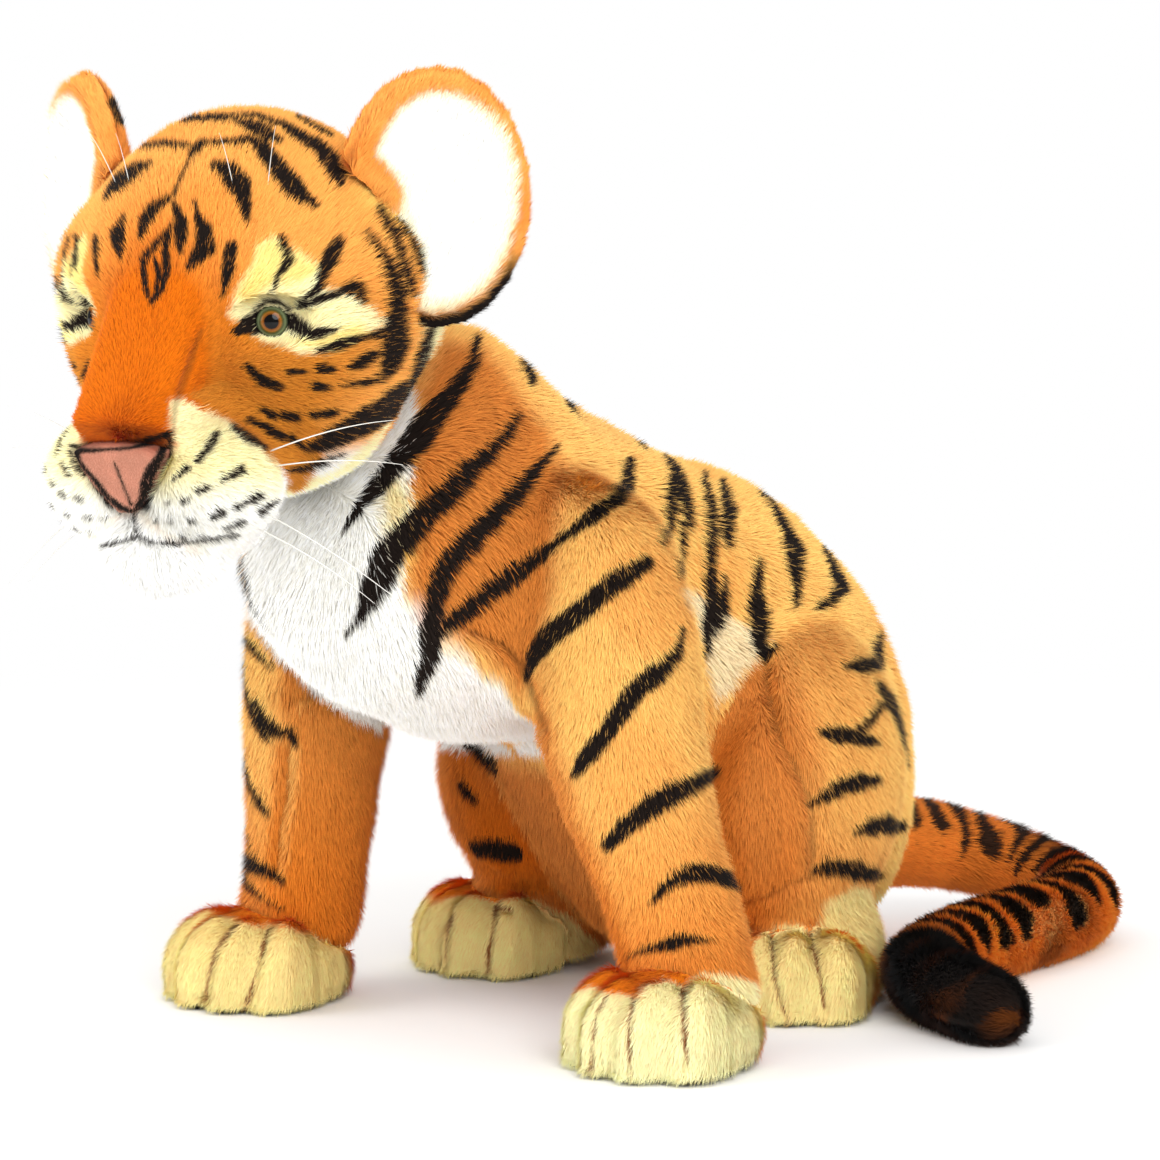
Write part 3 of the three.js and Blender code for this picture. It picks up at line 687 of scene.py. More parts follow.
@dataclass(frozen=True)
class PhotoView:
    """The photograph's camera: a long lens that looks at the cub from its front left."""

    azimuth: float = 39.45
    elevation: float = 5.52
    distance: float = 2.0
    target: Point = (0.0, -0.0969, 0.1959)
    side: int = 1160
    focal: float = 2.0 / PIXEL
    sensor: float = 36.0

    def axes(self) -> tuple[np.ndarray, np.ndarray, np.ndarray]:
        """The camera's right, up and backward directions."""
        az, el = math.radians(self.azimuth), math.radians(self.elevation)
        right = np.array([math.cos(az), math.sin(az), 0])
        up = np.array([-math.sin(az) * math.sin(el), math.cos(az) * math.sin(el), math.cos(el)])
        back = np.array([math.sin(az) * math.cos(el), -math.cos(az) * math.cos(el), math.sin(el)])
        return right, up, back

    def eye(self) -> np.ndarray:
        """Where the camera stands."""
        return np.array(self.target) + self.axes()[2] * self.distance

    def pixels(self, points: np.ndarray) -> np.ndarray:
        """The photograph pixel of each point."""
        right, up, back = self.axes()
        away = points - np.array(self.target)
        scale = self.focal / (self.distance - away @ back)
        return np.stack([self.side / 2 + (away @ right) * scale, self.side / 2 - (away @ up) * scale], 1)

    def towards(self, points: np.ndarray) -> np.ndarray:
        """The direction from each point to the camera."""
        return unit(self.eye() - points)

    def cast(self, x: float, y: float, tree: BVHTree) -> Vector | None:
        """Where the sight line of a pixel first meets a skin.

        Args:
            x: The pixel's column.
            y: The pixel's row.
            tree: The skin.

        Returns:
            The point, or None where the line misses.
        """
        right, up, back = self.axes()
        way = right * (x - self.side / 2) - up * (y - self.side / 2) - back * self.focal
        return tree.ray_cast(Vector(self.eye()), Vector(way).normalized())[0]

    def make(self) -> bpy.types.Object:
        """Puts the camera into the scene.

        Returns:
            The camera.
        """
        data = bpy.data.cameras.new("photo_camera")
        data.sensor_width = self.sensor
        data.lens = self.focal * self.sensor / self.side
        data.clip_start, data.clip_end = 0.05, 60.0
        camera = bpy.data.objects.new("photo_camera", data)
        bpy.context.scene.collection.objects.link(camera)
        right, up, back = self.axes()
        turn = Matrix(np.stack([right, up, back], 1).tolist()).to_4x4()
        camera.matrix_world = Matrix.Translation(Vector(self.eye())) @ turn
        bpy.context.scene.camera = camera
        return camera


@dataclass(frozen=True)
class Stroke:
    """A printed stripe: photograph pixels along its middle, each with the stripe's half width there."""

    points: tuple[Point, ...]
    mirrored: bool = True

    def wider(self, share: float, extra: float) -> "Stroke":
        """The same stripe with other half widths."""
        return Stroke(tuple((x, y, max(half * share + extra, 0.4)) for x, y, half in self.points),
                      self.mirrored)


@dataclass(frozen=True)
class Patch:
    """A dyed area: its outline in photograph pixels, its tint, its soft edge and its mirror image's reach."""

    outline: tuple[tuple[float, float], ...]
    tint: Tint
    edge: float = 5.0
    mirrored: bool = True
    strength: float = 1.0
    span: float = 1.0


@dataclass(frozen=True)
class Flip:
    """The mirror plane of a form: upright, through a point, turned with the head."""

    centre: Point = (0.0, 0.0, 0.0)
    turn: float = 0.0

    def local(self, points: np.ndarray) -> np.ndarray:
        """Points as the form itself sees them: x to its left, -y ahead."""
        return (points - np.array(self.centre)) @ turned(-self.turn).T

    def across(self, points: np.ndarray, ways: bool = False) -> np.ndarray:
        """The mirror image of points, or of directions where ways is set."""
        side = turned(self.turn)[:, 0]
        away = points if ways else points - np.array(self.centre)
        return points - 2 * (away @ side)[:, None] * side


def to_segment(px: np.ndarray, a: np.ndarray, b: np.ndarray) -> tuple[np.ndarray, np.ndarray]:
    """How far along a straight piece each pixel lies, 0 to 1, and how far off it."""
    step = b - a
    t = np.clip((px - a) @ step / max(step @ step, 1e-9), 0, 1)
    return t, np.hypot(*(px - (a + t[:, None] * step)).T)


class Printer:
    """Prints strokes and patches on the points of one skin, from where the photograph stands."""

    def __init__(self, view: PhotoView, tree: BVHTree, flip: Flip) -> None:
        """Keeps the view, the skin that carries the print and its mirror plane."""
        self.view = view
        self.tree = tree
        self.flip = flip

    def carried(self, outline: list[tuple[float, float]]) -> np.ndarray:
        """Where the skin carries these pixels, one point a row."""
        found = [self.view.cast(x, y, self.tree) for x, y in outline]
        return np.array([tuple(p) for p in found if p is not None]).reshape(-1, 3)

    def near(self, points: np.ndarray, normals: np.ndarray, low: np.ndarray, high: np.ndarray,
             held: np.ndarray, reach: float, facing: float = -0.15) -> tuple[np.ndarray, np.ndarray]:
        """Picks the points that a mark can reach.

        Args:
            points: The skin's points.
            normals: Their outward directions.
            low: The mark's lowest pixel.
            high: The mark's highest pixel.
            held: Where the skin carries the mark.
            reach: How far from there it may print, in metres.
            facing: How squarely the skin has to face the view.

        Returns:
            The places of those points, and their pixels.
        """
        px = self.view.pixels(points)
        rows = np.nonzero((px >= low).all(1) & (px <= high).all(1))[0]
        if not len(rows) or not len(held):
            return rows[:0], px[:0]
        seen = (normals[rows] * self.view.towards(points[rows])).sum(1) > facing
        rows = rows[seen]
        if not len(rows):
            return rows, px[:0]
        away = np.full(len(rows), np.inf)
        for spot in held:
            away = np.minimum(away, ((points[rows] - spot) ** 2).sum(1))
        rows = rows[away < reach**2]
        return rows, px[rows]

    def passes(self, points: np.ndarray, normals: np.ndarray,
               mirrored: bool) -> list[tuple[np.ndarray, np.ndarray]]:
        """The points and normals to print on, and their mirror images where the mark has one."""
        straight = (points, normals)
        return [straight, (self.flip.across(points), self.flip.across(normals,
            True))] if mirrored else [straight]

    @staticmethod
    def inside(px: np.ndarray, ring: np.ndarray) -> np.ndarray:
        """Which pixels lie inside an outline.

        Args:
            px: Pixels, one a row.
            ring: The outline's corners.

        Returns:
            True or False for each pixel.
        """
        out = np.zeros(len(px), bool)
        for a, b in zip(ring, np.roll(ring, -1, 0)):
            spans = (a[1] > px[:, 1]) != (b[1] > px[:, 1])
            with np.errstate(divide="ignore", invalid="ignore"):
                cross = a[0] + (px[:, 1] - a[1]) * (b[0] - a[0]) / (b[1] - a[1])
            out ^= spans & (px[:, 0] < cross)
        return out

    def stroke(self, points: np.ndarray, normals: np.ndarray, stroke: Stroke, fuzz: np.ndarray,
               soft: float = 1.6) -> np.ndarray:
        """How strongly a stroke prints on each point.

        Args:
            points: Positions.
            normals: Outward directions.
            stroke: The stroke.
            fuzz: Pixels by which each point sees the edge moved.
            soft: Half the width of the edge in pixels.

        Returns:
            A mask from 0 to 1.
        """
        path = np.array(stroke.points)
        out = np.zeros(len(points))
        samples = [tuple(path[0, :2])]
        for a, b in zip(path[:-1], path[1:]):
            steps = max(1, int(np.hypot(*(b - a)[:2]) / 5))
            samples += [tuple((a + (b - a) * (i + 1) / steps)[:2]) for i in range(steps)]
        held = self.carried(samples)
        wide = path[:, 2].max() + soft + 3
        low, high = path[:, :2].min(0) - wide, path[:, :2].max(0) + wide
        for places, ways in self.passes(points, normals, stroke.mirrored):
            rows, px = self.near(places, ways, low, high, held, (wide * 1.5 + 8) * PIXEL)
            best = np.full(len(rows), -np.inf)
            for a, b in zip(path[:-1], path[1:]):
                t, gap = to_segment(px, a[:2], b[:2])
                best = np.maximum(best, a[2] + (b[2] - a[2]) * t - gap)
            mask = smooth((best + fuzz[rows] + soft) / (2 * soft))
            out[rows] = np.maximum(out[rows], mask)
        return out

    def patch(self, points: np.ndarray, normals: np.ndarray, patch: Patch, fuzz: np.ndarray) -> np.ndarray:
        """How strongly a patch dyes each point.

        Args:
            points: Positions.
            normals: Outward directions.
            patch: The patch.
            fuzz: Pixels by which each point sees the edge moved.

        Returns:
            A mask from 0 to 1.
        """
        ring = np.array(patch.outline)
        low, high = ring.min(0) - patch.edge - 3, ring.max(0) + patch.edge + 3
        grid = max(9.0, float(np.hypot(*(high - low))) / 18)
        across, down = np.meshgrid(np.arange(low[0], high[0], grid), np.arange(low[1], high[1], grid))
        spots = np.stack([across.ravel(), down.ravel()], 1)
        spots = spots[self.inside(spots, ring)]
        held = self.carried([tuple(p) for p in ring] + [tuple(p) for p in spots])
        reach = grid * 0.75 * PIXEL + 9 * MM
        out = np.zeros(len(points))
        for turn, (places, ways) in enumerate(self.passes(points, normals, patch.mirrored)):
            rows, px = self.near(places, ways, low, high, held, reach, 0.08)
            if turn:
                kept = np.abs(points[rows, 0]) < patch.span
                rows, px = rows[kept], px[kept]
            gap = np.full(len(rows), np.inf)
            for a, b in zip(ring, np.roll(ring, -1, 0)):
                gap = np.minimum(gap, to_segment(px, a, b)[1])
            signed = np.where(self.inside(px, ring), gap, -gap)
            mask = smooth((signed + fuzz[rows] + patch.edge) / (2 * patch.edge)) * patch.strength
            out[rows] = np.maximum(out[rows], mask)
        return out


def strokes(mirrored: bool, table: dict[str, tuple[Point, ...]]) -> dict[str, Stroke]:
    """Turns a table of pixels along stripes into strokes, all of them mirrored or none."""
    return {name: Stroke(points, mirrored) for name, points in table.items()}


BODY_STRIPES: dict[str, Stroke] = strokes(True, {
    "neck_front": ((473, 341, 3), (468, 366, 5), (450, 394, 8), (428, 419, 11), (414, 441, 12),
                   (393, 466, 10), (371, 491, 7), (353, 516, 3), (343, 530, 1)),
    "neck_second": ((514, 414, 3), (503, 433, 5), (486, 451, 6), (468, 466, 9), (450, 487, 11),
                    (428, 508, 11), (407, 530, 13), (389, 551, 14), (375, 580, 12), (361, 612, 5),
                    (345, 633, 1)),
    "shoulder": ((552, 448, 2), (536, 466, 5), (521, 483, 8), (503, 501, 9), (482, 523, 10), (461, 544, 11),
                 (446, 562, 10), (436, 583, 10), (432, 601, 9), (428, 626, 9), (428, 651, 9), (421, 673, 7),
                 (416, 690, 3)),
    "shoulder_hook": ((625, 462, 4), (623, 480, 7), (618, 498, 6), (596, 512, 6), (578, 526, 5),
                      (557, 541, 4), (539, 555, 7), (514, 569, 9), (493, 583, 9), (475, 598, 8),
                      (457, 612, 9), (439, 626, 8)),
    "upper_arm": ((643, 562, 7), (621, 576, 9), (596, 594, 9), (571, 616, 10), (550, 633, 10), (536, 651, 8),
                  (528, 673, 3)),
    "arm": ((680, 626, 2), (675, 651, 5), (657, 669, 8), (636, 687, 10), (621, 708, 9), (607, 730, 8),
            (586, 755, 7), (575, 772, 3)),
    "elbow": ((716, 768, 5), (705, 773, 7), (680, 786, 9), (660, 797, 10), (640, 810, 9), (620, 828, 7),
              (609, 840, 5)),
    "forearm": ((738, 883, 4), (727, 876, 7), (710, 871, 8), (693, 870, 8), (675, 876, 6), (662, 886, 4),
                (648, 901, 1)),
    "wrist": ((712, 936, 1), (690, 936, 3), (674, 938, 6), (660, 942, 4), (640, 948, 2), (627, 954, 1)),
    "withers_a": ((511, 341, 2), (521, 362, 5), (528, 383, 4)),
    "withers_b": ((557, 376, 2), (564, 398, 4.5), (570, 419, 3)),
    "withers_c": ((621, 423, 3), (632, 437, 4), (641, 453, 2)),
    "back_a": ((655, 443, 2), (661, 451, 3), (671, 473, 5), (682, 498, 6), (686, 523, 4)),
    "back_a_left": ((668, 478, 4), (668, 508, 5), (661, 541, 2)),
    "back_a_low": ((679, 523, 3), (680, 544, 3), (677, 576, 1.5)),
    "back_b": ((700, 476, 2), (705, 500, 4), (709, 525, 5), (707, 560, 5), (708, 590, 6), (709, 616, 8),
               (703, 651, 3)),
    "back_b_right": ((718, 484, 3), (724, 510, 7), (724, 541, 4)),
    "back_b_low": ((722, 575, 2), (719, 600, 6), (712, 622, 7)),
    "back_c": ((757, 492, 2), (770, 508, 3), (781, 530, 5), (791, 550, 8), (794, 575, 6), (790, 608, 2)),
    "back_d": ((757, 558, 2), (753, 585, 5), (755, 610, 9), (757, 640, 8), (763, 655, 5), (775, 645, 3)),
    "rump_a": ((819, 547, 2), (830, 572, 5), (838, 588, 6), (826, 600, 5), (811, 608, 2)),
    "thigh_a": ((843, 664, 2), (858, 664, 6), (872, 662, 6), (874, 640, 4), (878, 632, 2)),
    "thigh_b": ((875, 682, 3), (884, 697, 6), (892, 715, 5), (899, 740, 3), (904, 763, 1.5)),
    "thigh_b_link": ((880, 700, 3), (868, 716, 3), (858, 726, 4)),
    "thigh_c": ((820, 729, 3), (835, 732, 7), (850, 733, 7), (866, 737, 5), (875, 739, 2)),
    "thigh_d": ((805, 801, 1), (820, 795, 4), (838, 785, 7), (858, 778, 8), (875, 776, 4)),
    "thigh_e": ((853, 828, 2), (870, 823, 7), (885, 820, 9), (897, 823, 6)),
    "thigh_f": ((813, 866, 2), (830, 863, 7), (850, 864, 8), (870, 869, 7), (878, 871, 3)),
    "rump_edge": ((885, 640, 2), (896, 670, 3), (905, 700, 4), (911, 730, 2)),
}) | strokes(False, {
    "far_arm_a": ((222, 600, 2), (236, 624, 3), (254, 646, 3), (272, 664, 2)),
    "far_arm_b": ((256, 700, 3), (266, 720, 5), (280, 729, 4), (292, 730, 4), (297, 741, 2)),
    "far_arm_c": ((259, 799, 4), (265, 806, 4), (270, 812, 1)),
    "far_arm_d": ((247, 856, 6), (255, 863, 7), (268, 869, 5), (285, 879, 2)),
    "far_hind_a": ((462, 781, 3), (467, 788, 4), (475, 797, 3)),
    "far_hind_b": ((494, 852, 3), (503, 851, 5), (513, 855, 2)),
})

# Folds pressed into the stuffing; the coat is also painted darker along them as shade in the folds.
SEAMS: dict[str, Stroke] = strokes(True, {
    "shoulder_fold": ((470, 628, 3), (498, 640, 4), (520, 660, 4), (534, 690, 4), (545, 722, 2)),
    "thigh_seam": ((764, 650, 2), (768, 690, 3), (780, 740, 3), (800, 775, 3), (810, 802, 3), (812, 840, 3),
                   (811, 872, 2)),
}) | strokes(False, {
    "far_arm_seam": ((290, 740, 2), (288, 790, 2), (281, 830, 2), (277, 870, 2)),
}) | strokes(True, {
    "foot_fold": ((748, 893, 1), (770, 890, 2), (790, 878, 2), (812, 872, 2)),
})

# The bib's lower edge, painted darker as shade along it.
BIB_EDGE = Stroke(((228, 580, 1.5), (250, 620, 1.5), (280, 660, 1.5), (320, 700, 1.5), (355, 723, 1.2),
                   (400, 740, 1)), False)

BODY_PATCHES: dict[str, Patch] = {
    "neck": Patch(((415, 395), (440, 345), (475, 345), (505, 380), (540, 425), (560, 480), (555, 560),
                   (545, 640), (520, 690), (480, 645), (418, 615), (405, 560), (408, 480)), Tint.NECK, 14,
                   strength=0.8),
    "bib": Patch(((225, 560), (250, 490), (270, 440), (330, 400), (390, 380), (413, 395), (410, 500),
                  (405, 560), (400, 581), (400, 602), (407, 618), (416, 627), (443, 652), (469, 664),
                  (496, 689), (514, 710), (533, 740), (545, 752), (470, 750), (403, 741), (354, 718),
                  (311, 687), (275, 653), (253, 622), (235, 586)), Tint.BIB, 3, span=0.034),
    "neck_yellow": Patch(((378, 478), (398, 470), (412, 500), (410, 556), (396, 572), (384, 540)),
                         Tint.YELLOW, 12, strength=0.6),
    "flank": Patch(((681, 588), (694, 589), (722, 612), (768, 640), (752, 660), (738, 678), (714, 704),
                    (709, 690), (703, 650), (693, 615)), Tint.FLANK, 6),
    "knuckle_near": Patch(((591, 987), (608, 992), (640, 997), (645, 985), (664, 979), (686, 985), (698, 973),
                           (722, 970), (749, 978), (762, 992), (772, 1040), (760, 1078), (700, 1098),
                           (620, 1100), (556, 1078), (552, 1020), (572, 992)), Tint.TOE, 3, mirrored=False),
    # knuckle_far, hind_near and hind_far dye the darker, more orange paw cream: painted shade.
    "knuckle_far": Patch(((155, 990), (160, 950), (180, 920), (206, 909), (241, 921), (287, 927), (324, 939),
                          (344, 955), (352, 975), (348, 1005), (300, 1028), (200, 1022), (155, 1008)),
                          Tint.TOE_SHADE, 3, mirrored=False),
    "hind_near": Patch(((753, 940), (776, 923), (795, 920), (810, 932), (818, 917), (826, 895), (857, 881),
                        (885, 890), (905, 915), (905, 985), (868, 1015), (820, 1032), (775, 1036),
                        (750, 1025)), Tint.TOE_SHADE, 3, mirrored=False),
    "hind_far": Patch(((408, 945), (415, 915), (438, 903), (460, 897), (494, 900), (536, 897), (570, 914),
                       (592, 936), (606, 955), (560, 982), (500, 992), (440, 978), (408, 960)), Tint.TOE_SHADE,
                       3, mirrored=False),
}

# The stitch lines between the toes, pressed in and printed darker as painted shade in the grooves.
TOE_STITCHES: dict[str, tuple[Stroke, ...]] = {
    "front_paw_left": (Stroke(((606, 997, 1.3), (596, 1016, 1.2), (593, 1045, 1.2), (591, 1076, 1)), False),
                       Stroke(((635, 997, 1.2), (630, 1019, 1.8), (629, 1045, 1.8), (632, 1074, 1.4)), False),
                       Stroke(((679, 984, 1.5), (689, 985, 1.5)), False),
                       Stroke(((684, 985, 1.8), (684, 1009, 1.9), (685, 1033, 1.9), (688, 1066, 1.5)),
                              False)),
    "front_paw_right": (Stroke(((235, 926, 1.4), (217, 949, 1.6), (209, 979, 1.4), (206, 1004, 1.2)), False),
                        Stroke(((268, 929, 2), (262, 955, 1.9), (253, 985, 1.8), (245, 1009, 1.4)), False)),
    "hind_paw_left": (Stroke(((773, 928, 1.4), (774, 968, 1.6), (781, 1001, 1.4), (790, 1020, 1)), False),
                      Stroke(((809, 932, 1.6), (816, 956, 1.6), (822, 984, 1.4), (825, 1005, 1)), False)),
    "hind_paw_right": (Stroke(((452, 917, 1.3), (448, 934, 1.3), (446, 960, 1)), False),
                       Stroke(((498, 903, 1.6), (494, 924, 1.6), (490, 946, 1.6), (488, 970, 1.2)), False),
                       Stroke(((496, 907, 1.4), (512, 909, 1.4)), False)),
}

HEAD_STRIPES: dict[str, Stroke] = strokes(False, {
    "knot": ((202, 146, 3), (196, 152, 5), (190, 160, 3)),
    "forehead_seam": ((190, 162, 1.5), (180, 180, 1.3), (174, 197, 1.5), (165, 207, 1)),
    "arc_left": ((190, 149, 2), (165, 147, 2.5), (137, 150, 3), (115, 162, 3.5), (99, 182, 3),
                 (91, 193, 1.5)),
    "band_right": ((202, 147, 2), (225, 145, 2.2), (247, 143, 3.5), (262, 152, 7), (277, 173, 8.5),
                   (291, 190, 9.5), (303, 200, 6), (312, 207, 4)),
    "spot_right": ((215, 168, 4), (228, 176, 9), (238, 190, 10), (244, 206, 6), (245, 223, 1.5)),
    "spot_left": ((150, 167, 2), (137, 173, 5.5), (122, 184, 7), (112, 193, 4), (106, 202, 1.5)),
    "arc_top": ((137, 139, 2), (150, 132, 3), (165, 127, 3), (190, 122, 3), (215, 121, 3), (230, 120, 3),
                (250, 119, 2)),
    "band_top": ((230, 122, 2), (250, 130, 5), (264, 137, 7), (278, 144, 3)),
    "band_side": ((255, 119, 2), (280, 127, 3), (300, 140, 5), (317, 150, 7), (327, 162, 9), (335, 174, 9),
                  (338, 186, 4)),
    "band_upper": ((295, 120, 2), (315, 131, 3), (328, 138, 2)),
    "mark_a": ((169, 200, 2), (155, 210, 5), (146, 224, 6), (142, 240, 2)),
    "mark_b": ((125, 219, 2), (119, 237, 6), (120, 252, 5), (122, 263, 1.5)),
    "mark_c": ((174, 207, 2), (180, 224, 5.5), (181, 242, 5), (180, 256, 2)),
    "mark_d": ((194, 205, 2), (197, 218, 2), (204, 233, 7), (205, 249, 9), (196, 261, 6), (187, 270, 1.5)),
    "mark_e": ((231, 249, 5), (228, 270, 6.5), (224, 289, 3), (221, 298, 1)),
    "braid_left": ((166, 235, 2), (155, 250, 3), (143, 263, 3), (144, 280, 3), (148, 298, 2)),
    "braid_right": ((170, 230, 2), (166, 250, 3), (166, 270, 3.5), (162, 290, 2.5), (151, 303, 2)),
    "braid_mid": ((155, 262, 2), (160, 276, 3), (156, 291, 2)),
    "mark_far_a": ((98, 242, 2.5), (97, 260, 3), (99, 276, 1.5)),
    "far_brow_a": ((68, 237, 2), (62, 263, 2.5)),
    "far_brow_b": ((79, 240, 2.5), (77, 270, 2)),
}) | strokes(True, {
    "above_eye": ((280, 241, 3), (285, 254, 4), (286, 263, 5), (277, 277, 3.5), (271, 293, 1.5)),
    "beside_brow": ((335, 246, 5), (326, 261, 8), (320, 275, 5), (317, 288, 4), (300, 302, 2)),
    "temple_knot": ((340, 292, 4), (351, 291, 8), (357, 301, 4)),
    "temple_line": ((332, 296, 3), (316, 301, 3), (298, 306, 2)),
    "eye_inner": ((236, 332, 4), (245, 327, 8), (257, 322, 10)),
    "eye_outer": ((289, 322, 8), (298, 329, 7.5), (311, 335, 4.5), (331, 331, 2.5)),
    "eye_lid": ((254, 310, 2), (264, 302, 2.5), (276, 301, 2.5), (288, 309, 2.5)),
    "eye_under": ((316, 351, 2), (330, 348, 3.5), (346, 342, 4), (362, 338, 3.5), (378, 334, 4)),
    "cheek_a": ((362, 235, 2), (370, 245, 3), (378, 256, 4), (388, 281, 6), (392, 310, 9), (390, 340, 12),
                (384, 364, 9), (375, 377, 4)),
    "cheek_b": ((374, 212, 3.5), (388, 235, 5), (397, 260, 5), (404, 284, 4), (408, 298, 2)),
    "cheek_c": ((395, 222, 2), (407, 245, 3), (417, 270, 3), (422, 291, 2)),
    "cheek_d": ((425, 328, 3), (415, 360, 7), (400, 388, 11), (380, 410, 12), (355, 424, 12), (330, 438, 9),
                (308, 446, 4)),
    "cheek_e": ((375, 380, 2.5), (357, 383, 2), (338, 385, 1.5)),
    "freckle_a": ((247, 367, 2.5), (260, 380, 5), (277, 387, 3.5)),
    "freckle_b": ((287, 372, 2), (302, 372, 2)),
    "freckle_c": ((318, 369, 4), (329, 370, 4)),
    "freckle_d": ((345, 367, 3), (355, 363, 5.5), (367, 356, 4)),
    "freckle_e": ((313, 386, 4.5), (322, 387, 4)),
    "freckle_f": ((260, 409, 3), (270, 415, 3.5)),
    "freckle_g": ((281, 415, 4), (294, 417, 4)),
    "freckle_h": ((310, 414, 3.5), (330, 412, 4)),
    "freckle_i": ((247, 421, 3), (262, 427, 3.5), (277, 436, 4.5)),
    "freckle_j": ((230, 428, 2.5), (245, 439, 3.5), (262, 447, 2)),
    "freckle_k": ((288, 437, 3), (305, 449, 3)),
    "jaw_edge": ((285, 470, 2), (300, 466, 3), (318, 460, 3), (340, 452, 2)),
})

# Folds pressed into the face; the coat is painted darker along bridge_near as shade in that fold.
FACE_FOLDS: dict[str, Stroke] = strokes(True, {
    "bridge_near": ((200, 332, 2), (187, 372, 3), (176, 404, 3), (172, 430, 2)),
}) | strokes(False, {
    "mouth_near": ((138, 534, 2.5), (150, 540, 3), (180, 541, 3), (211, 537, 3), (240, 531, 2),
                   (262, 520, 2)),
    "mouth_far": ((138, 534, 2.5), (130, 537, 3), (117, 541, 2.5), (104, 543, 2)),
    "philtrum": ((135, 511, 2.5), (138, 534, 3)),
})

MUZZLE_MARKS: dict[str, Stroke] = strokes(True, {
    "row_a": ((215, 435, 2), (207, 447, 3.2), (197, 461, 2)),
    "row_a_dot": ((186, 468, 1.8), (173, 479, 1.2)),
    "row_b": ((239, 469, 3.4), (221, 479, 2.4)),
    "row_b_dot": ((205, 486, 1.8), (196, 490, 1.5)),
    "row_b_far": ((186, 498, 1.7), (181, 500, 1.4)),
    "row_b_end": ((168, 500, 1.2), (166, 501, 1)),
    "row_c": ((256, 494, 3.2), (234, 506, 2.6)),
    "row_c_dot": ((220, 511, 2.6), (210, 516, 2)),
    "row_c_far": ((191, 519, 2), (188, 519, 1.6)),
    "row_c_end": ((170, 519, 1.3), (168, 519, 1.2)),
    "row_c_last": ((158, 519, 1.1), (156, 519, 1)),
    "row_d": ((240, 520, 2.6), (222, 527, 2)),
    "row_d_far": ((201, 534, 1.6), (198, 534, 1.4)),
    "row_d_end": ((182, 534, 1.3), (180, 534, 1.2)),
    "corner": ((272, 499, 2.5), (256, 510, 2.5)),
}) | strokes(False, {
    "nostril_near": ((171, 438, 2), (166, 458, 3), (158, 474, 3.5), (153, 488, 3.5), (147, 503, 3)),
    "nostril_far": ((74, 452, 2), (77, 464, 2), (93, 482, 2), (106, 499, 2), (121, 510, 2)),
    "nose_top": ((76, 447, 2), (100, 446, 2), (130, 444, 2), (169, 435, 2.5)),
    "philtrum": ((135, 511, 1.8), (138, 534, 1.6)),
    "mouth_near": ((138, 534, 1.8), (150, 540, 1.9), (180, 541, 1.8), (211, 537, 1.6), (234, 533, 1)),
    "mouth_far": ((138, 534, 1.6), (130, 537, 1.8), (117, 541, 1.4), (104, 543, 1)),
})

EAR_MARKS: tuple[Stroke, ...] = (Stroke(((112, 104, 3), (122, 114, 7), (127, 127, 8), (126, 140, 5))),)

NOSE_MARKS: dict[str, Stroke] = strokes(False, {
    "edge_far": ((75, 450, 3.5), (79, 463, 3), (95, 480, 2.6), (107, 497, 2.6), (122, 508, 2.6),
                 (135, 513, 3)),
    "edge_near": ((167, 440, 4), (160, 457, 5), (150, 473, 7), (146, 487, 7), (142, 500, 5), (135, 512, 3)),
    "edge_top": ((74, 451, 2.5), (100, 450, 2.2), (130, 448, 2.2), (169, 438, 2.6)),
    "groove": ((114, 462, 0.8), (122, 482, 1.2), (131, 504, 1.5)),
})

HEAD_PATCHES: dict[str, Patch] = {
    "brow_white": Patch(((228, 316), (236, 292), (247, 270), (256, 250), (271, 240), (290, 250), (318, 271),
                         (318, 290), (332, 292), (354, 303), (381, 325), (364, 335), (325, 352), (295, 353),
                         (264, 343), (248, 334)), Tint.CREAM, 4),
    "brow_yellow": Patch(((236, 296), (247, 270), (256, 250), (271, 240), (290, 250), (316, 271), (300, 284),
                          (270, 288), (246, 302)), Tint.YELLOW, 7, strength=0.75),
    "lower_lid": Patch(((286, 342), (330, 352), (368, 336), (352, 324), (318, 338)), Tint.YELLOW, 5,
                       strength=0.7),
    "cheek_edge": Patch(((414, 238), (450, 262), (456, 310), (452, 350), (442, 395), (417, 440), (380, 474),
                         (335, 496), (288, 502), (280, 484), (330, 468), (366, 441), (395, 407), (411, 370),
                         (418, 330), (418, 280)), Tint.CREAM, 4),
    "pad_orange": Patch(((186, 396), (205, 408), (228, 425), (252, 444), (266, 456), (280, 472), (292, 500),
                         (310, 470), (325, 440), (300, 412), (260, 390), (215, 380)), Tint.FACE, 3),
    "pad_cream": Patch(((168, 402), (178, 399), (202, 411), (226, 429), (250, 449), (262, 460), (250, 470),
                        (220, 462), (190, 452), (172, 440)), Tint.CREAM, 4),
    "temple_pale": Patch(((352, 182), (378, 188), (400, 212), (415, 240), (405, 240), (385, 222), (360, 208)),
                         Tint.YELLOW, 6, strength=0.5),
}


# Skins and their pile

def bars(place: np.ndarray, pitch: float, breaks: np.ndarray) -> np.ndarray:
    """Printed bars, one a pitch, thinned and broken where breaks runs low.

    Args:
        place: Where each point lies across the bars, in millimetres.
        pitch: The distance from bar to bar.
        breaks: Slow waves about zero.

    Returns:
        A mask from 0 to 1.
    """
    phase = place / pitch
    inside = np.abs(phase - np.floor(phase) - 0.5) * 2
    return smooth((0.30 + 0.22 * np.clip(breaks, -1.2, 1) - inside) / 0.16 + 0.5)


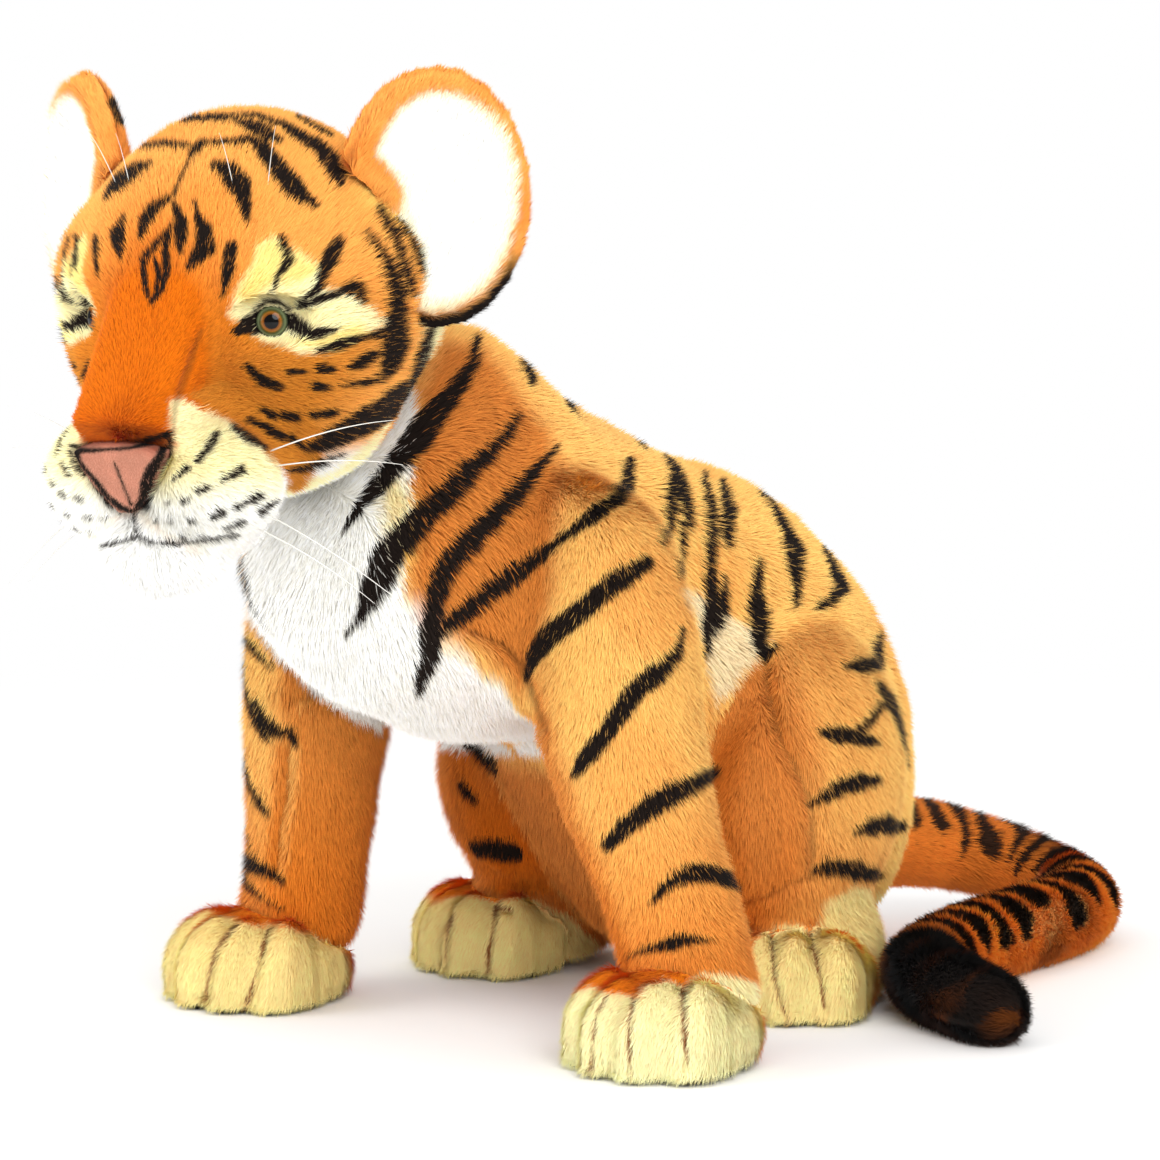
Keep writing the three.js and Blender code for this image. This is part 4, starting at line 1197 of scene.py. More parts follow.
class PileTree:
    """The node tree that plants one short blade for each hair of a skin."""

    def __init__(self) -> None:
        """Builds the tree once for all skins."""
        self.tree = bpy.data.node_groups.new("pile", "GeometryNodeTree")
        face = self.tree.interface
        face.new_socket("Geometry", in_out="INPUT", socket_type="NodeSocketGeometry")
        for name, kind in (("Density", "Float"), ("Blade Width", "Float"), ("Rise", "Float"),
                           ("Stray", "Float"), ("Swirl", "Float"), ("Seed", "Int"), ("Finish", "Material")):
            face.new_socket(name, in_out="INPUT", socket_type=f"NodeSocket{kind}")
        face.new_socket("Geometry", in_out="OUTPUT", socket_type="NodeSocketGeometry")
        self.maker = Maker(self.tree)
        self.build()

    def named(self, name: str, kind: str = "FLOAT") -> Wire:
        """Reads a named attribute of the skin."""
        return self.maker.get("GeometryNodeInputNamedAttribute", {"data_type": kind}, {"Name": name})

    def random(self, low: float, high: float, seed: Wire | int) -> Wire:
        """A random number for each hair, from low to high."""
        return self.maker.get("FunctionNodeRandomValue", {"data_type": "FLOAT"},
                              {2: low, 3: high, "Seed": seed}, 1)

    def keep(self, geometry: Wire, name: str, kind: str, value: Wire) -> Wire:
        """Stores a named attribute on each point."""
        return self.maker.get("GeometryNodeStoreNamedAttribute", {"data_type": kind, "domain": "POINT"},
                              {"Geometry": geometry, "Name": name, "Value": value})

    def blade(self) -> Wire:
        """One hair: a slim triangle, one unit wide and one tall, that faces -Y."""
        m = self.maker
        ring = m.get("GeometryNodeMeshCircle", {"fill_type": "NGON"}, {"Vertices": 3, "Radius": 1.0})
        index = m.get("GeometryNodeInputIndex")
        tip = index < 0.5
        place = m.get("ShaderNodeCombineXYZ", None, {0: (index - 1.5) * (1 - tip), 1: 0.0, 2: tip})
        shaped = m.get("GeometryNodeSetPosition", None, {"Geometry": ring, "Position": place})
        return self.keep(shaped, "along", "FLOAT", tip)

    def build(self) -> None:
        """Links the tree from skin to finished pile."""
        m = self.maker
        source = m.node("NodeGroupInput")
        given = {s.name: Wire(m, s) for s in source.outputs if s.name}
        planted = m.node("GeometryNodeDistributePointsOnFaces", {"distribute_method": "RANDOM"},
                         {"Mesh": given["Geometry"], "Density": given["Density"] * self.named("cover"),
                          "Seed": given["Seed"]})
        normal = Wire(m, planted.outputs["Normal"])
        points = self.keep(Wire(m, planted.outputs["Points"]), "out", "FLOAT_VECTOR", normal)
        points = self.keep(points, "shade", "FLOAT", self.random(0.0, 1.0, 7))
        place = m.get("GeometryNodeInputPosition")
        waves = m.noise(place, 55.0, 1.0, "Color")
        tufts = m.noise(place, 230.0, 1.0, "Color")
        both = m.vector("ADD", m.vector("SUBTRACT", waves, (0.5, 0.5, 0.5)),
                        m.vector("SUBTRACT", tufts, (0.5, 0.5, 0.5)))
        swirl = m.vector("SCALE", both, scale=given["Swirl"])
        sides = [self.random(-1, 1, seed) for seed in (11, 12, 13)]
        loose = m.get("ShaderNodeCombineXYZ", None, dict(enumerate(sides)))
        stray = m.vector("SCALE", loose, scale=given["Stray"])
        lift = m.vector("SCALE", normal, scale=given["Rise"] * self.random(0.7, 1.35, 14))
        way = m.vector("ADD", m.vector("ADD", self.named("nap", "FLOAT_VECTOR"), lift),
                       m.vector("ADD", swirl, stray))
        inward = m.vector("SCALE", normal, scale=-1.0)
        turn = m.get("FunctionNodeAxesToRotation", {"primary_axis": "Z", "secondary_axis": "Y"},
                     {0: way, 1: inward})
        wide = given["Blade Width"] * self.random(0.7, 1.3, 15)
        tall = self.named("pile") * self.random(0.72, 1.15, 16)
        size = m.get("ShaderNodeCombineXYZ", None, {0: wide, 1: 1.0, 2: tall})
        hairs = m.get("GeometryNodeInstanceOnPoints", None,
                      {"Points": points, "Instance": self.blade(), "Rotation": turn, "Scale": size})
        real = m.get("GeometryNodeRealizeInstances", None, {"Geometry": hairs})
        painted = m.get("GeometryNodeSetMaterial", None, {"Geometry": real, "Material": given["Finish"]})
        m.node("NodeGroupOutput", None, {"Geometry": painted})


@dataclass
class Pelt:
    """How one patch of pile is cut and planted."""

    name: str
    blades: int
    width: float = 0.62
    rise: float = 0.62
    stray: float = 0.22
    swirl: float = 0.5
    seed: int = 1
    soften: float = 0.65


class Pile:
    """Plants pelts on skins."""

    def __init__(self, finish: bpy.types.Material) -> None:
        """Builds the node tree that every pelt shares."""
        self.tree = PileTree().tree
        self.finish = finish
        self.sockets = {item.name: item.identifier for item in self.tree.interface.items_tree
                        if item.in_out == "INPUT"}
        self.thin = 1.0

    def grow(self, skin: bpy.types.Object, pelt: Pelt, rows: np.ndarray | None, printer: "Coat",
             finish: bpy.types.Material | None = None) -> bpy.types.Object:
        """Grows one patch of pile.

        Args:
            skin: The skin that carries it, with its coat, nap, pile and cover.
            pelt: How it is planted.
            rows: Which of the skin's vertices carry it, or None for all.
            printer: Prints the marks on the hairs.
            finish: A finish other than the usual one.

        Returns:
            The pile as one mesh object.
        """
        mesh = skin.data.copy()
        mesh.name = pelt.name
        carrier = add_object(pelt.name, mesh)
        cover = fetch(mesh, "cover", "FLOAT")
        if rows is not None:
            cover = cover * rows
            store(mesh, "cover", "FLOAT", cover)
        blades = int(pelt.blades * self.thin)
        density = blades / max(self.area(mesh, cover), 1e-6)
        modifier = carrier.modifiers.new("pile", "NODES")
        modifier.node_group = self.tree
        wide = pelt.width * MM * (1.0 / self.thin) ** 0.5
        for name, value in (("Density", density), ("Blade Width", wide), ("Rise", pelt.rise),
                            ("Stray", pelt.stray), ("Swirl", pelt.swirl), ("Seed", pelt.seed),
                            ("Finish", finish or self.finish)):
            modifier[self.sockets[name]] = value
        bake_modifiers(carrier)
        self.comb_out(carrier, pelt, printer)
        return carrier

    def area(self, mesh: bpy.types.Mesh, cover: np.ndarray) -> float:
        """How much skin carries pile.

        Args:
            mesh: The skin.
            cover: How densely the pile stands at each vertex.

        Returns:
            The covered area in square metres.
        """
        starts = read(mesh.polygons, "loop_start", kind=np.int32)
        totals = read(mesh.polygons, "loop_total", kind=np.int32)
        corners = read(mesh.loops, "vertex_index", kind=np.int32)
        mean = np.add.reduceat(cover[corners], starts) / totals
        return float((read(mesh.polygons, "area") * mean).sum())

    def comb_out(self, obj: bpy.types.Object, pelt: Pelt, printer: "Coat") -> None:
        """Prints the marks on the hairs, softens their shading and gives them a place in a UV map.

        Args:
            obj: The planted pile.
            pelt: How it was planted.
            printer: Prints the marks.
        """
        mesh = obj.data
        co = vertices(mesh)
        out = unit(fetch(mesh, "out", "FLOAT_VECTOR"))
        count = len(co) // 3
        along = fetch(mesh, "along", "FLOAT").reshape(count, 3)
        base = 1 - along
        roots = (co.reshape(count, 3, 3) * base[:, :, None]).sum(1) / base.sum(1)[:, None]
        tips = (co.reshape(count, 3, 3) * along[:, :, None]).sum(1)
        normals = out[::3]
        coat = fetch(mesh, "coat", "FLOAT_COLOR")[::3, :3]
        coat = printer.print_marks(roots * 0.6 + tips * 0.4, normals, coat, hairs=True)
        store(mesh, "coat", "FLOAT_COLOR", np.repeat(coat, 3, 0))
        flat = read(mesh.polygons, "normal", 3)
        order = read(mesh.loops, "vertex_index", kind=np.int32)
        aim = unit(flat * (1 - pelt.soften) + normals[order[::3] // 3] * pelt.soften)
        for name in [a.name for a in mesh.attributes if a.name in ("out", "nap", "pile", "cover", "zone")]:
            mesh.attributes.remove(mesh.attributes[name])
        self.chart(mesh, roots, normals, order)
        mesh.normals_split_custom_set(np.repeat(aim, 3, 0).astype(np.float32))

    @staticmethod
    def chart(mesh: bpy.types.Mesh, roots: np.ndarray, normals: np.ndarray, order: np.ndarray) -> None:
        """Lays each hair into a UV map beside its neighbours, so that a texture laid through it keeps the print.

        Args:
            mesh: The pile.
            roots: Each hair's root.
            normals: The skin's outward direction at each root.
            order: The mesh's corners.
        """
        axis = np.abs(normals).argmax(1)
        sign = normals[np.arange(len(normals)), axis] > 0
        cell = axis * 2 + sign
        flat = np.where(axis[:, None] == 0, roots[:, [1, 2]],
                        np.where(axis[:, None] == 1, roots[:, [0, 2]], roots[:, [0, 1]]))
        low, high = flat.min(0), flat.max(0)
        span = max((high - low).max(), 1e-6)
        place = (flat - low) / span * 0.94 + 0.03
        place = (place + np.stack([cell % 3, cell // 3], 1)) / np.array([3.0, 2.0])
        texel = 1.0 / 512
        shape = np.array([[0.0, 1.1], [-0.8, -0.6], [0.8, -0.6]]) * texel
        uv = place[order // 3] + shape[order % 3]
        layer = mesh.uv_layers.new(name="OFBake")
        layer.uv.foreach_set("vector", np.clip(uv, 0, 1).astype(np.float32).ravel())


@dataclass
class Coat:
    """What is printed on one skin: dyed patches first, then painted shade along seams and folds, then stripes."""

    printer: Printer
    patches: tuple[Patch, ...] = ()
    stripes: tuple[Stroke, ...] = ()
    seams: tuple[Stroke, ...] = ()
    ink: Tint = Tint.INK
    spread: float = 1.12
    extra: float = 0.5

    def print_marks(self, points: np.ndarray, normals: np.ndarray, coat: np.ndarray,
                    hairs: bool = False) -> np.ndarray:
        """Prints every mark on these points.

        Args:
            points: Positions.
            normals: Outward directions.
            coat: The colours before printing.
            hairs: Whether the points are single hairs, whose places scatter.

        Returns:
            The printed colours.
        """
        rng = np.random.default_rng(5)
        fuzz = ripple(points, 0.012, 3) * 0.9
        if hairs:
            fuzz = fuzz + rng.normal(0, 1.0, len(points))
        coat = coat.copy()
        for patch in self.patches:
            mask = self.printer.patch(points, normals, patch, fuzz * 1.6)[:, None]
            coat = coat * (1 - mask) + patch.tint.linear() * mask
        # Painted shade: each seam and fold darkens the colour along it.
        for seam in self.seams:
            mask = self.printer.stroke(points, normals, seam, fuzz * 0.5, 2.2)[:, None] * 0.6
            coat = coat * (1 - mask) + (coat * 0.35 + Tint.SEAM.linear() * 0.35) * mask
        total = np.zeros(len(points))
        for stripe in self.stripes:
            drawn = stripe.wider(self.spread, self.extra)
            total = np.maximum(total, self.printer.stroke(points, normals, drawn, fuzz))
        if hairs:
            total = total * np.where(rng.random(len(points)) < 0.04, 0.5, 1.0)
        mask = total[:, None]
        return coat * (1 - mask) + self.ink.linear() * mask


@dataclass
class Hide:
    """One stuffed skin, sewn over the solids that it stands for."""

    name: str
    nodes: list[str]
    voxel: float = 3.0
    draw_in: float = 2.0
    swell: float = 0.5
    passes: int = 2
    obj: bpy.types.Object | None = None

    def sew(self) -> bpy.types.Object:
        """Joins copies of the solids into one closed skin, drawn in to leave room for the pile.

        Returns:
            The skin.
        """
        bm = bmesh.new()
        for name in self.nodes:
            part = bmesh.new()
            part.from_mesh(frame["nodes"][name].data)
            bmesh.ops.remove_doubles(part, verts=part.verts, dist=2e-5)
            part.normal_update()
            for v in part.verts:
                v.co += v.normal * self.swell * MM
            copy = bpy.data.meshes.new("copy")
            part.to_mesh(copy)
            part.free()
            bm.from_mesh(copy)
            bpy.data.meshes.remove(copy)
        mesh = bpy.data.meshes.new(self.name)
        bm.to_mesh(mesh)
        bm.free()
        obj = add_object(self.name, mesh)
        modifier = obj.modifiers.new("remesh", "REMESH")
        modifier.mode = "VOXEL"
        modifier.voxel_size = self.voxel * MM
        modifier.adaptivity = 0.0
        bake_modifiers(obj)
        self.obj = obj
        self.relax(self.passes)
        self.push(-(self.draw_in + self.swell) * MM)
        self.relax(2)
        return obj

    def relax(self, passes: int) -> None:
        """Evens the skin: vertices move towards their neighbours' middle, then nearly as far back out.

        Args:
            passes: How many times.
        """
        a, b, degree = net(self.obj.data)
        co = vertices(self.obj.data)
        for i in range(passes * 2):
            co = co + (around(co, a, b, degree) - co) * (0.5 if i % 2 == 0 else -0.52)
        set_vertices(self.obj.data, co)

    def melt(self, passes: int, mask: np.ndarray | float = 1.0) -> None:
        """Rounds the skin off where the mask allows it.

        Args:
            passes: How many times.
            mask: How freely each vertex moves, 0 to 1.
        """
        a, b, degree = net(self.obj.data)
        co = vertices(self.obj.data)
        free = np.broadcast_to(np.asarray(mask, float), (len(co),))[:, None] * 0.5
        for _ in range(passes):
            co = co + (around(co, a, b, degree) - co) * free
        set_vertices(self.obj.data, co)

    def fill_folds(self, passes: int, mask: np.ndarray | float = 1.0) -> None:
        """Rounds the hollow folds where two forms meet, and leaves what stands out as it is.

        Args:
            passes: How many times.
            mask: How freely each vertex moves, 0 to 1.
        """
        mesh = self.obj.data
        a, b, degree = net(mesh)
        free = np.broadcast_to(np.asarray(mask, float), (len(mesh.vertices),))[:, None] * 0.5
        for _ in range(passes):
            co, normals = vertices(mesh), vertex_normals(mesh)
            step = around(co, a, b, degree) - co
            rise = (step * normals).sum(1)[:, None]
            set_vertices(mesh, co + (normals * np.maximum(rise, 0) + (step - rise * normals) * 0.3) * free)

    def push(self, amount: float | np.ndarray) -> None:
        """Moves each vertex along its normal."""
        co, normals = vertices(self.obj.data), vertex_normals(self.obj.data)
        step = np.broadcast_to(np.asarray(amount, float), (len(co),))
        set_vertices(self.obj.data, co + normals * step[:, None])

    def plump(self, cap: float = 3.0, pressure: float = 4.0, frames: int = 20) -> None:
        """Stuffs the skin by cloth simulation, so that it swells between its seams.

        Args:
            cap: How far a vertex may move, in millimetres.
            pressure: The stuffing's pressure.
            frames: How long it runs.
        """
        scene = bpy.context.scene
        rest = vertices(self.obj.data)
        cloth = self.obj.modifiers.new("stuffing", "CLOTH")
        cloth.settings.use_pressure = True
        cloth.settings.uniform_pressure_force = pressure
        cloth.settings.effector_weights.gravity = 0
        cloth.settings.quality = 4
        cloth.settings.tension_stiffness = 30
        cloth.settings.compression_stiffness = 30
        for now in range(1, frames + 1):
            scene.frame_set(now)
        graph = bpy.context.evaluated_depsgraph_get()
        moved = vertices(self.obj.evaluated_get(graph).data)
        self.obj.modifiers.clear()
        scene.frame_set(1)
        step = moved - rest
        length = np.linalg.norm(step, axis=1, keepdims=True)
        step *= np.minimum(1, cap * MM / np.maximum(length, 1e-9))
        set_vertices(self.obj.data, rest + step)

    def refine(self) -> None:
        """One subdivision, so that the swelling is round."""
        modifier = self.obj.modifiers.new("round", "SUBSURF")
        modifier.levels = modifier.render_levels = 1
        bake_modifiers(self.obj)

    def dress(self, coat: np.ndarray, nap: np.ndarray, pile: np.ndarray, cover: np.ndarray) -> None:
        """Stores what the pile needs to know.

        Args:
            coat: The undyed colour of each vertex.
            nap: The way that the hair lies.
            pile: The hair's length in metres.
            cover: How densely it stands, 0 to 1.
        """
        mesh = self.obj.data
        normals = vertex_normals(mesh)
        lay = nap - (nap * normals).sum(1)[:, None] * normals
        store(mesh, "coat", "FLOAT_COLOR", coat)
        store(mesh, "nap", "FLOAT_VECTOR", unit(lay))
        store(mesh, "pile", "FLOAT", pile)
        store(mesh, "cover", "FLOAT", cover)

    def finish(self, material: bpy.types.Material, coat: Coat) -> None:
        """Prints the backing like the pile above it and gives it its material.

        Args:
            material: The backing's finish.
            coat: What is printed on it.
        """
        mesh = self.obj.data
        colour = coat.print_marks(vertices(mesh), vertex_normals(mesh),
                                  fetch(mesh, "coat", "FLOAT_COLOR")[:, :3])
        store(mesh, "coat", "FLOAT_COLOR", colour)
        mesh.materials.clear()
        mesh.materials.append(material)
        mesh.shade_smooth()


def blur(mesh: bpy.types.Mesh, values: np.ndarray, passes: int) -> np.ndarray:
    """Softens values over a skin by averaging each vertex with its neighbours.

    Args:
        mesh: The skin.
        values: One row for each vertex.
        passes: How many times.

    Returns:
        The softened values.
    """
    a, b, degree = net(mesh)
    flat = values.reshape(len(values), -1)
    for _ in range(passes):
        flat = flat * 0.5 + around(flat, a, b, degree) * 0.5
    return flat.reshape(values.shape)


class Dye:
    """The colour of every point of a skin while it is being dyed."""

    def __init__(self, base: Tint, count: int) -> None:
        """Starts from one plain tint."""
        self.tint = np.tile(base.linear(), (count, 1))

    def lay(self, colour: Tint, share: np.ndarray) -> None:
        """Lays one dye over the skin, as strongly as share says."""
        share = np.clip(share, 0, 1)[:, None]
        self.tint = self.tint * (1 - share) + colour.linear() * share


def mound(x: np.ndarray, y: np.ndarray, z: np.ndarray, place: Point, size: Point) -> np.ndarray:
    """A soft swelling on both sides of a form, 1 at its middle, that spreads by size each way."""
    away = [(np.abs(x) - place[0]) / size[0], (y - place[1]) / size[1], (z - place[2]) / size[2]]
    return np.exp(-(away[0] ** 2 + away[1] ** 2 + away[2] ** 2))


@dataclass
class Workshop:
    """What every sub-assembly shares: the view, the finishes and the pile."""

    view: PhotoView
    backing: bpy.types.Material
    pile: Pile
    # A brighter copy of the pile finish for the paws: painted light that makes up for the dimmer light near the
    # floor.
    paw_brightened_finish: bpy.types.Material


@dataclass
class BodyHide:
    """The body: torso, legs and feet in one stuffed skin with a white bib and belly."""

    shop: Workshop
    voxel: float = 5.0
    withers_rise: float = 14.0
    loins_rise: float = 9.0
    shoulder: Point = (84, -178, 252)
    hip: Point = (86, -10, 172)
    bib_half: float = 50.0
    bib_back: float = -138.0
    bib_heights: tuple[float, float] = (96.0, 214.0)
    seam_depth: float = 3.4
    hairs: dict[str, int] = field(default_factory=lambda: {
        "torso_left": 138000, "torso_right": 124000, "chest_panel": 59000, "front_leg_left": 126000,
        "front_leg_right": 108000, "thigh_left": 109000, "thigh_right": 100000})
    nodes: tuple[str, ...] = ("torso", "chest_panel", "front_leg_left", "front_leg_right", "thigh_left",
                              "thigh_right", "hind_foot_left", "hind_foot_right")

    def build(self) -> Hide:
        """Sews and stuffs the skin.

        Returns:
            The skin.
        """
        hide = Hide("body_skin", list(self.nodes), voxel=self.voxel, draw_in=3.4)
        hide.sew()
        x, y, z = (vertices(hide.obj.data) / MM).T
        joins = np.maximum(mound(x, y, z, self.shoulder, (48, 62, 44)),
                           mound(x, y, z, self.hip, (40, 62, 34)))
        hide.melt(34, np.clip(joins * 1.3, 0, 1) * smooth((np.abs(x) - 34) / 14))
        hide.fill_folds(30, smooth((z - 45) / 35))
        x, y, z = (vertices(hide.obj.data) / MM).T
        withers = self.withers_rise * np.exp(-((y + 186) / 36) ** 2 - (x / 50) ** 2) * smooth((z - 230) / 60)
        loins = self.loins_rise * np.exp(-((y + 8) / 40) ** 2 - (x / 60) ** 2) * smooth((z - 170) / 50)
        lifted = vertices(hide.obj.data)
        lifted[:, 2] += (withers + loins) * MM
        set_vertices(hide.obj.data, lifted)
        hide.plump()
        hide.refine()
        log.info("body skin: %d faces", len(hide.obj.data.polygons))
        return hide

    def colour(self, hide: Hide, head: BVHTree) -> tuple[Coat, np.ndarray]:
        """Dyes the skin and combs it.

        Args:
            hide: The skin.
            head: The head's skin, which covers the neck.

        Returns:
            The marks to print, and each vertex's node.
        """
        mesh = hide.obj.data
        printer = Printer(self.shop.view, skin_tree(mesh), Flip())
        # Seams, folds and the bib's edge are painted darker: painted shade.
        coat = Coat(printer, patches=tuple(BODY_PATCHES.values()), stripes=tuple(BODY_STRIPES.values()),
                    seams=(*SEAMS.values(), BIB_EDGE))
        self.press(hide, printer)
        co, normals = vertices(mesh), vertex_normals(mesh)
        zone = owners(co, list(self.nodes))
        z = co[:, 2] / MM
        torso, leg, foot = zone <= 1, (zone == 2) | (zone == 3), zone >= 6
        nap = np.zeros_like(co)
        nap[:, 1] = np.where(torso, 0.5, 0.05)
        nap[:, 2] = -0.85
        nap[torso & (normals[:, 2] > 0.5)] = (0, 0.95, -0.3)
        pile = np.full(len(co), 8.2)
        pile[leg | foot] = 7.4
        pile = blur(mesh, pile * (1 + 0.08 * ripple(co, 0.03, 4)), 6)
        hide.dress(self.dyed(co, normals, zone), blur(mesh, nap, 6), pile * MM, bare(co, head) * (z > 1.2))
        return coat, zone

    def dyed(self, co: np.ndarray, normals: np.ndarray, zone: np.ndarray) -> np.ndarray:
        """The body's dyes: tan, a browner tan over the back that is partly painted shade, deep orange on the legs
        with painted shade inside them and between the hind legs, white on chest and belly.

        Args:
            co: Each vertex's position.
            normals: Its outward direction.
            zone: Its node.

        Returns:
            One colour for each vertex.
        """
        x, y, z = (co / MM).T
        torso, leg, thigh, foot = zone <= 1, (zone == 2) | (zone == 3), (zone == 4) | (zone == 5), zone >= 6
        outward = normals[:, 0] * np.sign(x)
        dye = Dye(Tint.TAN, len(co))
        # A browner tan over the top of the back: partly the plush's colour, partly painted shade.
        dye.lay(Tint.BACK, smooth((z - 235) / 60) * smooth((y + 205) / 100) * 0.45 * torso)
        dye.lay(Tint.DEEP, smooth((ripple(co, 0.07, 11) - 0.2) / 1.0) * 0.22)
        dye.lay(Tint.DEEP, smooth((150 - z) / 90) * 0.6 * leg)
        dye.lay(Tint.RUST, smooth((78 - z) / 34) * 0.35 * leg)
        # Painted shade: deeper orange and rust on the inner sides of the legs and thighs, which face the body.
        inner = smooth((-outward + 0.1) / 0.6) * smooth((0.5 - normals[:, 2]) / 0.4)
        inner = inner * smooth((np.where(thigh, 135, 195) - z) / 30) * (thigh | leg)
        dye.lay(Tint.DEEP, inner * 0.5)
        dye.lay(Tint.RUST, inner * 0.35)
        # The front of the thigh is deep orange, laid more strongly where it faces inwards: partly its colour,
        # partly painted shade.
        inward_shade = 0.35 + 0.65 * smooth((0.6 - outward) / 0.6)
        dye.lay(Tint.DEEP, thigh * 0.6 * smooth((-y - 2) / 40) * inward_shade)
        # Painted shade: rust under the belly between the hind legs.
        between = smooth((66 - np.abs(x)) / 16) * smooth((125 - z) / 20) * smooth((10 - y) / 40)
        dye.lay(Tint.RUST, between * 0.7 * ~leg)
        dye.lay(Tint.RUST, thigh * 0.4 * smooth((110 - z) / 60))
        dye.lay(Tint.RUST, thigh * 0.6 * smooth((-y - 52) / 22))
        dye.lay(Tint.RUST, smooth((80 - z) / 35) * 0.75 * foot)
        edge = ripple(co, 0.03, 65) * 3
        low, high = self.bib_heights
        white = smooth((-0.22 - np.minimum(normals[:, 1], normals[:, 2])) / 0.2) * torso
        white = white * smooth((self.bib_half + edge - np.abs(x)) / 8)
        white = white * smooth((self.bib_back + edge - y) / 8)
        dye.lay(Tint.BIB, white * smooth((high - z) / 14) * smooth((z - low) / 8))
        across = bars(x + 5 * ripple(co, 0.03, 63), 30, ripple(co, 0.05, 64))
        dye.lay(Tint.INK, across * smooth((y - 66) / 14) * smooth((z - 78) / 20) * torso)
        return dye.tint

    def press(self, hide: Hide, printer: Printer) -> None:
        """Draws the seams and folds into the stuffing.

        Args:
            hide: The skin.
            printer: Finds the seams on it.
        """
        co, normals = vertices(hide.obj.data), vertex_normals(hide.obj.data)
        still = np.zeros(len(co))
        dent = np.zeros(len(co))
        for seam in SEAMS.values():
            dent = np.maximum(dent, printer.stroke(co, normals, seam.wider(1.0, 3.5), still, 6.0))
        hide.push(-dent * self.seam_depth * MM)

    def grow(self, hide: Hide, coat: Coat, zone: np.ndarray) -> None:
        """Grows the body's pile, patch by patch.

        Args:
            hide: The skin.
            coat: Its marks.
            zone: Each vertex's node.
        """
        x = vertices(hide.obj.data)[:, 0]
        rows = {
            "torso_left": (zone == 0) & (x >= 0), "torso_right": (zone == 0) & (x < 0),
            "chest_panel": zone == 1,
            "front_leg_left": zone == 2, "front_leg_right": zone == 3,
            "thigh_left": (zone == 4) | (zone == 6), "thigh_right": (zone == 5) | (zone == 7)}
        for i, (name, held) in enumerate(rows.items()):
            pelt = Pelt(f"{name}_pile", self.hairs[name], width=0.87 if name.startswith("torso") else 0.68,
                        seed=20 + i)
            patch = self.shop.pile.grow(hide.obj, pelt, held.astype(float), coat)
            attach(patch, "torso")
            "white_plush" if name == "chest_panel" else "orange_plush"
            log.info("%s: %d hairs", patch.name, len(patch.data.polygons))
        hide.finish(self.shop.backing, coat)
        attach(hide.obj, "torso")
        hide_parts(*self.nodes)


